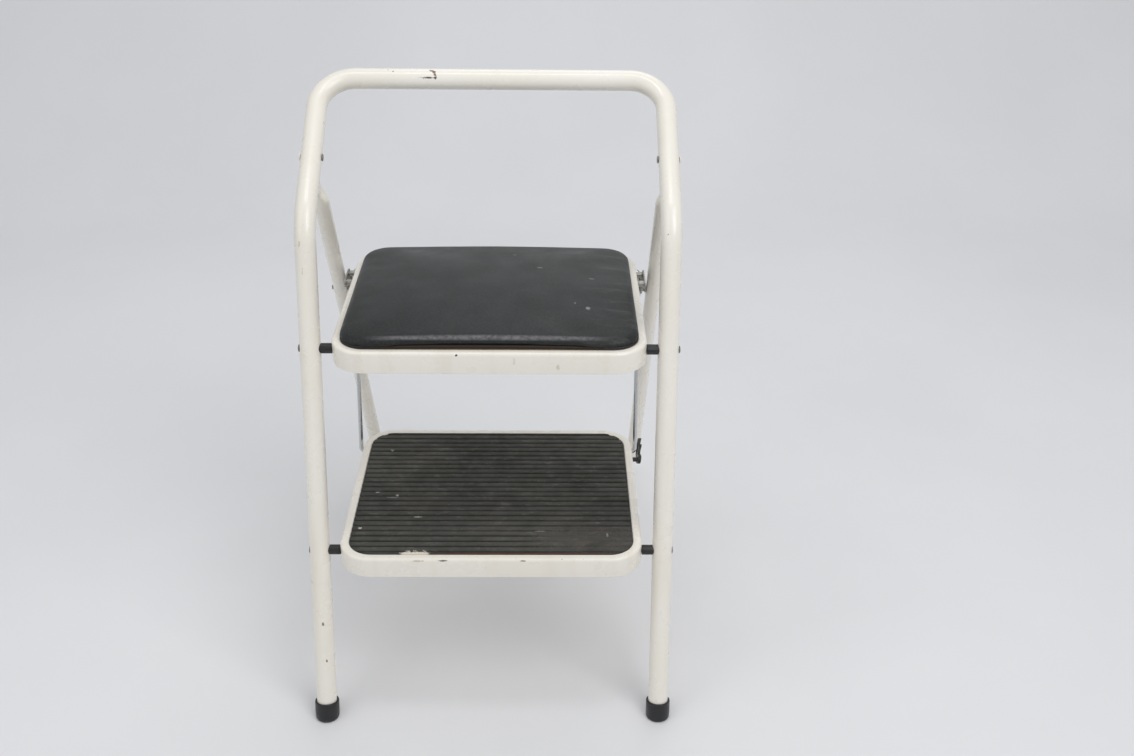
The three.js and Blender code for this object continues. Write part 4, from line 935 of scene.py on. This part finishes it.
def pad_form():
    """The pad before it swells, and the strip tucked under its edge.

    Rings go from the underside out, up a rounded edge and in over a low crown, whose height is
    edge + (crown - edge) * (1 - share squared), share being the part of the way from the middle to the
    shoulder. Every height is less by CORNER_FALL * (u * v) squared of itself, u and v being the parts of
    the half width and half depth. The sides draw in by up to DRAWN_IN between the corners, and in front
    the lower edge lifts by up to FRONT_LIFT in the middle, over the strip that is tucked under it."""
    z = sizes()
    low, high = SEAT_BOX
    middle, half_y, rim = (low[1] + high[1]) / 2, (high[1] - low[1]) / 2, high[2]

    def shares(p):
        return p[:, 0] / high[0], (p[:, 1] - middle) / half_y

    def drawn(inset):
        p = outline(z.pad_inset + inset, PAD_CORNER - inset, high[0], low[1], high[1], steps=10, runs=7)
        u, v = shares(p)
        return p - DRAWN_IN * np.column_stack([np.sign(u) * (1 - v ** 2), np.sign(v) * (1 - u ** 2)])

    def ring(p, height, lifted=1):
        u, v = shares(p)
        lift = FRONT_LIFT * (1 - u ** 2) * np.clip(-v, 0, 1) ** 4 * max(0.0, 1 - height / LIFT_GONE_AT)
        return np.column_stack([p, rim + height * (1 - CORNER_FALL * (u * v) ** 2) + lift * lifted])

    rings = [ring(drawn(inset), height) for inset, height in UNDERSIDE]
    for angle in np.linspace(0, math.pi / 2, 7):
        edge = drawn(PAD_SHOULDER * (1 - math.cos(angle)))
        rings.append(ring(edge, z.pad_edge - PAD_SHOULDER * (1 - math.sin(angle))))
    for share in CROWN_SHARES:
        p = edge * share + [0, middle * (1 - share)]
        rings.append(ring(p, z.pad_edge + (z.pad_crown - z.pad_edge) * (1 - share ** 2)))
    tucked = [ring(drawn(inset), height, 0) for inset, height in TUCKED_STRIP]
    return shell("seat_cushion", np.array(rings)), shell("tucked_edge", np.array(tucked))


def with_mesh(obj, other):
    """Puts another object's mesh into obj's own; the other object goes."""
    work = bmesh.new()
    work.from_mesh(obj.data)
    work.from_mesh(other.data)
    work.to_mesh(obj.data)
    work.free()
    bpy.data.objects.remove(other)


SMOOTH_SHARE, SMOOTH_TIMES = 0.5, 6
VOXEL = 0.0042
HELD_BELOW = 0.0045
COVER_MASS = 0.3
COVER_STRETCH, COVER_SHEAR, COVER_BENDING = 18, 12, 25
PRESSURE = 1.3
LARGEST_MOVE = 0.0030
FRAMES = 20


def swollen(obj):
    """The cushion after its cover is blown up a little: remeshed, pressed outwards as cloth for some
    frames, each point's move limited, its underside and lower edge held."""
    scene = bpy.context.scene
    remesh = obj.modifiers.new("skin", "REMESH")
    remesh.mode, remesh.voxel_size, remesh.use_smooth_shade = "VOXEL", VOXEL, True
    applied(obj)
    before = places_of(obj.data)
    held = obj.vertex_groups.new(name="held")
    held.add(np.flatnonzero(before[:, 2] < SEAT_BOX[1][2] + HELD_BELOW).tolist(), 1.0, "REPLACE")
    cloth = obj.modifiers.new("cloth", "CLOTH")
    settings = cloth.settings
    settings.quality = 6
    settings.mass = COVER_MASS
    settings.tension_stiffness = settings.compression_stiffness = COVER_STRETCH
    settings.shear_stiffness, settings.bending_stiffness = COVER_SHEAR, COVER_BENDING
    settings.use_pressure, settings.uniform_pressure_force = True, PRESSURE
    settings.vertex_group_mass = "held"
    settings.effector_weights.gravity = 0
    cloth.collision_settings.use_collision = False
    for number in range(1, FRAMES + 1):
        scene.frame_set(number)
    move = places_of(finished_mesh(obj)) - before
    length = np.linalg.norm(move, axis=1, keepdims=True)
    move *= np.minimum(1.0, LARGEST_MOVE / np.maximum(length, 1e-9))
    obj.modifiers.clear()
    obj.data.vertices.foreach_set("co", (before + move).ravel())
    obj.data.update()
    scene.frame_set(1)
    return obj


class STOOL_OT_seat_pad(bpy.types.Operator):
    """Blow up and dress the crowned seat cushion"""
    bl_idname = "stool.seat_pad"
    bl_label = "Seat pad"

    def execute(self, context):
        form, tucked_edge = pad_form()
        cushion = swollen(form)
        smoothing = cushion.modifiers.new("even", "SMOOTH")
        smoothing.factor, smoothing.iterations = SMOOTH_SHARE, SMOOTH_TIMES
        with_mesh(applied(cushion), tucked_edge)
        finer = cushion.modifiers.new("finer", "SUBSURF")
        finer.levels = finer.render_levels = 1
        cushion.data.polygons.foreach_set("use_smooth", np.ones(len(cushion.data.polygons), bool))
        dressed(cushion, vinyl(), "seat", "seat_pad")
        return {"FINISHED"}


# Step mat
MAT_CORNER = 0.0287
MAT_EDGE = 0.0016
EDGE_DROP = 0.0012
END_DROP = 0.0010
END_RUN = 0.0001
GROOVE_DEPTH = 0.0015
GROOVE_HALF, GROOVE_SLOPE = 0.44, 0.16
FINE_LINES = 3
FINE_HEIGHT = 0.00012
WORN_DEPTH = 0.9
WORN_WIDE, WORN_LONG = 0.058, 0.017
ROWS_PER_RIB, CORNER_ROWS = 14, 60
COLUMNS, EDGE_FROM = 60, 0.994


def make_mat():
    """Ribbed sheet: x = half width at that y times u, and height follows rounded ribs of y.

    The half width shrinks in the corners as a quarter circle does, the sheet's edge turns down, and the
    grooves are shallower by WORN_DEPTH * exp(-d squared) where the mat is worn, d being the distance from
    the worn place in units of WORN_WIDE sideways and WORN_LONG lengthways."""
    pitch = sizes().rib_pitch
    low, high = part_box("step_mat")
    depth = high[1] - low[1]
    middle = (low[1] + high[1]) / 2
    count = int(depth / pitch)
    turn = MAT_CORNER * (1 - np.cos(np.linspace(0, math.pi / 2, CORNER_ROWS)))
    ribbed = np.linspace(low[1] + MAT_EDGE, high[1] - MAT_EDGE, count * ROWS_PER_RIB)
    across = np.unique(np.concatenate([low[1] + turn, high[1] - turn, ribbed]))
    off_middle = np.abs(across - middle)
    end = np.maximum(0, off_middle - (depth / 2 - MAT_CORNER))
    half = high[0] - MAT_CORNER + np.sqrt(np.maximum(MAT_CORNER ** 2 - end ** 2, 0))
    phase = (across - middle) / pitch + 0.5 * ((count + 1) % 2)
    wave = np.abs((phase % 1.0) - 0.5) * 2
    inside = off_middle < depth / 2 - MAT_EDGE
    groove = eased(np.clip((GROOVE_HALF - wave) / GROOVE_SLOPE, 0, 1) * inside)
    fine = FINE_HEIGHT * np.cos(2 * math.pi * FINE_LINES * phase) * (1 - groove)
    u = np.concatenate([[-1.0], np.linspace(-EDGE_FROM, EDGE_FROM, COLUMNS), [1.0]])
    edge_drop = np.where(np.abs(u) == 1.0, EDGE_DROP, 0.0)
    px = half[:, None] * u[None]
    py = np.repeat(across[:, None], len(u), 1)
    near_end = np.clip((END_RUN - (depth / 2 - off_middle)) / END_RUN, 0, 1)
    wear = np.exp(-((px - WORN_CORNER[0]) / WORN_WIDE) ** 2 - ((py - WORN_CORNER[1]) / WORN_LONG) ** 2)
    rise = high[2] - GROOVE_DEPTH * groove[:, None] * (1 - WORN_DEPTH * wear) + (fine * inside)[:, None]
    upper = np.stack([px, py, rise - edge_drop[None] - END_DROP * near_end[:, None]], -1)
    lower = np.stack([px, py, np.full_like(px, low[2])], -1)[:, ::-1]
    return shell("ribbed_mat", np.concatenate([upper, lower], axis=1))


class STOOL_OT_step_mat(bpy.types.Operator):
    """Mould the ribbed step mat"""
    bl_idname = "stool.step_mat"
    bl_label = "Step mat"

    def execute(self, context):
        dressed(sharpened(make_mat(), degrees=60), rubber(), "step", "step_mat")
        return {"FINISHED"}


# Side rods
ROD_RADIUS = 0.003
ROD_BEND = 0.005


class STOOL_OT_side_rods(bpy.types.Operator):
    """Bend the two chrome side rods"""
    bl_idname = "stool.side_rods"
    bl_label = "Side rods"

    def execute(self, context):
        for word, side in SIDES:
            inner, outer = ends_of(f"side_rod_{word}")
            out, end = X * side * (outer - ROD_RADIUS), X * side * inner
            route = [ROD_TOP + end, ROD_TOP + out, ROD_FOOT + out, ROD_FOOT + end]
            points, ways = subdivided(*arc_points(route, [ROD_BEND, ROD_BEND], steps=12), LONGEST_STEP)
            rings = tube_rings(points, ways, Y + 0.1 * X, ROD_RADIUS, sides=28)
            rod = bevelled(shell(f"chrome_rod_{word}", rings), width=0.0005)
            dressed(rod, chrome(), f"rod_{word}", f"side_rod_{word}")
        return {"FINISHED"}


# Feet: the cap's section as radius and height along the leg, and a block under the floor that trims it
CAP_SECTION = (
    (0.0, -0.0045), (0.0145, -0.0045), (0.01525, 0.0070), (0.01525, 0.0235), (0.0128, 0.0235),
    (0.0128, 0.0090), (0.0, 0.0090))
CAP_BENDS = (0.0075, 0.004, 0.0012, 0.0006, 0.0005)
UNDER_FLOOR = ((-0.3, 0.3), (-0.4, 0.0), (-0.03, 0.0))


class STOOL_OT_feet(bpy.types.Operator):
    """Mould the leg caps and the floor bar's glides"""
    bl_idname = "stool.feet"
    bl_label = "Feet"

    def execute(self, context):
        section = arc_points(CAP_SECTION, CAP_BENDS, steps=6)[0]
        for word, side in SIDES:
            centre = on_leg(0.0) + X * side * sizes().leg_spacing / 2
            cap = turned(f"leg_cap_{word}", section, centre, LEG_UP, sides=56)
            spans = [np.outer(span, axis) for span, axis in zip(UNDER_FLOOR, (X, Y, Z))]
            sharpened(cut_with(cap, [block("floor_cut", np.zeros(3), *spans)]), degrees=45)
            dressed(cap, plastic(), "front", f"foot_cap_{word}")
            eased_copy(f"rear_glide_{word}", f"floor_glide_{word}", 0.0006, plastic(), "rear")
        return {"FINISHED"}


# Pivots
RIVET_SHANK = 0.003
RIVET_HEAD = 0.0045
HEAD_LIP = 0.0005
LIP_SHARE = 0.97
PIVOT_DOME = 0.0011
HINGE_DOME = 0.0013
PAINTED_DEPTH = 0.0040


def domed_rivet(name, node, centre, side, rise):
    """A rivet along X as long as its node, with a flattened dome at each end over a thin lip: a dome's
    radius is RIVET_HEAD * cos a and its height rise * sin a."""
    inner, outer = ends_of(node)
    inner, outer = inner + rise + HEAD_LIP, outer - rise - HEAD_LIP
    a = np.linspace(0.0, math.pi / 2, 9)
    dome = np.column_stack([RIVET_HEAD * np.cos(a), rise * np.sin(a)])
    rim = RIVET_HEAD * LIP_SHARE
    outer_head = np.concatenate([[(RIVET_SHANK, outer), (rim, outer)], dome + [0, outer + HEAD_LIP]])
    inner_head = np.concatenate([
        dome[::-1] * [1, -1] + [0, inner - HEAD_LIP], [(rim, inner), (RIVET_SHANK, inner)]])
    profile = np.concatenate([inner_head, outer_head])
    profile[[0, -1], 0] = 0.0
    return turned(name, profile, centre, X * side, sides=40)


class STOOL_OT_pivots(bpy.types.Operator):
    """Turn the sleeves, washers and rivets of the pivots"""
    bl_idname = "stool.pivots"
    bl_label = "Pivots"

    def execute(self, context):
        for word, side in SIDES:
            for tray, place in (("seat", SEAT_PIVOT), ("step", STEP_PIVOT)):
                node = f"{tray}_pivot_rivet_{word}"
                rivet = domed_rivet(f"{tray}_rivet_{word}", node, place, side, PIVOT_DOME)
                dressed(rivet, zinc(), "front", node)
                eased_copy(f"{tray}_spacer_{word}", f"{tray}_sleeve_{word}", 0.0005, plastic(), "front")
                coated(NODES[f"{tray}_washer_{word}"], zinc())
            node = f"rear_hinge_rivet_{word}"
            rivet = domed_rivet(f"hinge_rivet_{word}", node, REAR_HINGE, side, HINGE_DOME)
            dressed(rivet, zinc(), "front", node)
            rivet.data.materials.append(enamel())
            bare_to = ends_of(node)[1] - PAINTED_DEPTH
            painted = [abs(f.center.x) > bare_to for f in rivet.data.polygons]
            rivet.data.polygons.foreach_set("material_index", painted)
        return {"FINISHED"}


# Hooks and catch
STUD_ROOT = 0.004
STUD_COLLAR = 0.0055
STUD_NECK = 0.0025
STUD_HEAD = 0.0037
STUD_TIP = 0.0026
STUD_HEAD_DEPTH = 0.0014
COLLAR_DEPTH, COLLAR_GAP = 0.0019, 0.0003
STUD_BENDS = (0.0008, 0.0003, 0.0004, 0.0004, 0.0001, 0.0002, 0.0003, 0.0008)


def stud_profile(inner, outer):
    """Radius and place along X of a stud: its root in the rear leg, a collar against the leg, a neck for
    the hook and a small head."""
    leg = (sizes().leg_spacing - sizes().rear_tube) / 2
    corners = [
        (0.0, inner), (STUD_ROOT, inner), (STUD_ROOT, leg - COLLAR_DEPTH), (STUD_COLLAR, leg - COLLAR_DEPTH),
        (STUD_COLLAR, leg - COLLAR_GAP), (STUD_NECK, leg - COLLAR_GAP), (STUD_NECK, outer - STUD_HEAD_DEPTH),
        (STUD_HEAD, outer - STUD_HEAD_DEPTH), (STUD_TIP, outer), (0.0, outer)]
    return arc_points(corners, STUD_BENDS, steps=4)[0]


class STOOL_OT_hooks(bpy.types.Operator):
    """Finish the seat hooks, their rivets and the studs they rest on"""
    bl_idname = "stool.hooks"
    bl_label = "Hooks and studs"

    def execute(self, context):
        for word, side in SIDES:
            eased_copy(f"hook_plate_{word}", f"seat_hook_{word}", 0.0004, zinc(), "seat")
            for end in ("front", "rear"):
                coated(NODES[f"hook_rivet_{end}_{word}"], zinc())
            section = stud_profile(*ends_of(f"seat_stud_{word}"))
            stud = turned(f"hook_stud_{word}", section, STUD, X * side, sides=40)
            dressed(stud, zinc(), "rear", f"seat_stud_{word}")
        return {"FINISHED"}


CATCH_LEAN = 0.16
LEAN_FROM_SHARE = 0.45


class STOOL_OT_catch(bpy.types.Operator):
    """Finish the fold catch, whose upper part leans out, and its rivet"""
    bl_idname = "stool.catch"
    bl_label = "Fold catch"

    def execute(self, context):
        catch = merged_copy("fold_catch", "spring_catch")
        low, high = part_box("fold_catch")
        lean_from = low[2] * (1 - LEAN_FROM_SHARE) + high[2] * LEAN_FROM_SHARE
        points = places_of(catch.data)
        points[:, 0] += CATCH_LEAN * np.maximum(0, points[:, 2] - lean_from)
        catch.data.vertices.foreach_set("co", points.ravel())
        bevelled(catch, width=0.0006, segments=3)
        dressed(sharpened(catch, degrees=30), plastic(), "step", "fold_catch")
        coated(NODES["catch_rivet"], zinc())
        return {"FINISHED"}


# Hidden parts
class STOOL_OT_hidden(bpy.types.Operator):
    """Finish the seat board, its screws and the rods' clips"""
    bl_idname = "stool.hidden"
    bl_label = "Board, screws and clips"

    def execute(self, context):
        coated(NODES["seat_board"], plywood())
        for node, piece in NODES.items():
            if node.startswith(("board_screw_", "rod_clip_")):
                coated(piece, zinc())
        return {"FINISHED"}


# Stage: a lamp's name, place, target, width, depth and power
STOOL_MIDDLE = (0.0, 0.0, 0.4)
LAMPS = (
    ("key", (1.3, -1.6, 2.5), STOOL_MIDDLE, 1.6, 1.6, 27),
    ("fill", (-1.9, -1.2, 2.0), STOOL_MIDDLE, 1.8, 1.8, 9),
    ("back", (0.3, 1.7, 2.6), STOOL_MIDDLE, 1.6, 1.6, 10),
    ("top", (-0.1, -0.25, 2.5), (-0.1, -0.25, 1.5), 1.2, 0.3, 5.5),
)
SKY = (0.95, 0.97, 1.0, 1)
SKY_STRENGTH = 0.55
FLOOR_HALF_WIDTH = 5.0
FLOOR_FRONT = -4.0
WALL_Y, WALL_TOP, WALL_BEND = 2.2, 4.5, 0.9


def area_light(name, place, target, width, depth, power):
    """A flat lamp at a place, facing a target."""
    lamp = bpy.data.lights.new(name, "AREA")
    lamp.shape, lamp.size, lamp.size_y, lamp.energy = "RECTANGLE", width, depth, power
    obj = bpy.data.objects.new(name, lamp)
    bpy.context.scene.collection.objects.link(obj)
    obj.location = place
    obj.rotation_euler = (Vector(target) - Vector(place)).to_track_quat("-Z", "Y").to_euler()


def make_floor(colour):
    """A floor that curves up into a wall over a quarter circle, the same all the way across."""
    a = np.linspace(0, math.pi / 2, 25)[:, None]
    bend_start = WALL_Y - WALL_BEND
    rising = np.column_stack([bend_start + WALL_BEND * np.sin(a), WALL_BEND - WALL_BEND * np.cos(a)])
    curve = np.concatenate([[[FLOOR_FRONT, 0.0]], rising, [[WALL_Y, WALL_TOP]]])
    rows = np.stack([
        np.column_stack([np.full(len(curve), x), curve]) for x in (-FLOOR_HALF_WIDTH, FLOOR_HALF_WIDTH)])
    floor = mesh_object("studio_floor", rows, grid_faces(2, len(curve), False, False).tolist())
    s = Shading("studio_floor", colour, 0.85)
    s.colour(s.over(colour, tinted(colour, (0.96, 0.96, 0.96)), s.remap(s.noise(1.5, 4), 0.3, 0.7)))
    floor.data.materials.append(s.material)
    return floor


def make_camera(stage):
    """A camera whose view is turned by yaw, pitched down and then rolled about its own line of sight."""
    data = bpy.data.cameras.new("camera")
    data.sensor_width, data.lens, data.clip_start = 36.0, stage.focal, 0.05
    ct, st = math.cos(stage.pitch), math.sin(stage.pitch)
    cy, sy = math.cos(stage.yaw), math.sin(stage.yaw)
    cr, sr = math.cos(stage.roll), math.sin(stage.roll)
    forward = np.array([sy * ct, cy * ct, -st])
    right = np.array([cy, -sy, 0.0])
    up = np.cross(right, forward)
    right, up = cr * right + sr * up, -sr * right + cr * up
    turn = np.eye(4)
    turn[:3, :3] = np.column_stack([right, up, -forward])
    turn[:3, 3] = tuple(stage.place)
    obj = bpy.data.objects.new("camera", data)
    bpy.context.scene.collection.objects.link(obj)
    obj.matrix_world = Matrix(turn.tolist())
    return obj


class STOOL_OT_stage(bpy.types.Operator):
    """Set the floor, the lights and the camera"""
    bl_idname = "stool.stage"
    bl_label = "Stage"

    def execute(self, context):
        scene = context.scene
        floor = make_floor(tuple(scene.stool_stage.floor))
        world = bpy.data.worlds.new("studio_world")
        world.use_nodes = True
        background = world.node_tree.nodes["Background"]
        background.inputs[0].default_value = SKY
        background.inputs[1].default_value = SKY_STRENGTH
        scene.world = world
        for lamp in LAMPS:
            area_light(*lamp)
        scene.camera = make_camera(scene.stool_stage)
        scene.view_settings.view_transform = "Standard"
        return {"FINISHED"}


class STOOL_PT_panel(bpy.types.Panel):
    """Sizes, finishes and the steps that build the stool"""
    bl_idname = "STOOL_PT_panel"
    bl_label = "Step stool chair"
    bl_space_type = "VIEW_3D"
    bl_region_type = "UI"
    bl_category = "Stool"

    def draw(self, context):
        scene = context.scene
        groups = (("Sizes", scene.stool_sizes), ("Finish", scene.stool_finish), ("Stage", scene.stool_stage))
        for title, group in groups:
            box = self.layout.box()
            box.label(text=title)
            for name in type(group).__annotations__:
                box.prop(group, name)
        for step in STEPS:
            self.layout.operator(step.bl_idname)


STEPS = (
    STOOL_OT_stage, STOOL_OT_front_frame, STOOL_OT_rear_frame, STOOL_OT_trays, STOOL_OT_seat_pad,
    STOOL_OT_step_mat, STOOL_OT_side_rods, STOOL_OT_feet, STOOL_OT_pivots, STOOL_OT_hooks, STOOL_OT_catch,
    STOOL_OT_hidden,
)
CLASSES = (StoolSizes, StoolFinish, StoolStage, *STEPS, STOOL_PT_panel)


def register():
    for cls in CLASSES:
        bpy.utils.register_class(cls)
    bpy.types.Scene.stool_sizes = bpy.props.PointerProperty(type=StoolSizes)
    bpy.types.Scene.stool_finish = bpy.props.PointerProperty(type=StoolFinish)
    bpy.types.Scene.stool_stage = bpy.props.PointerProperty(type=StoolStage)


def unregister():
    del bpy.types.Scene.stool_stage
    del bpy.types.Scene.stool_finish
    del bpy.types.Scene.stool_sizes
    for cls in reversed(CLASSES):
        bpy.utils.unregister_class(cls)


def main():
    register()
    for step in STEPS:
        family, name = step.bl_idname.split(".")
        getattr(getattr(bpy.ops, family), name)()


if __name__ == "__main__":
    main()
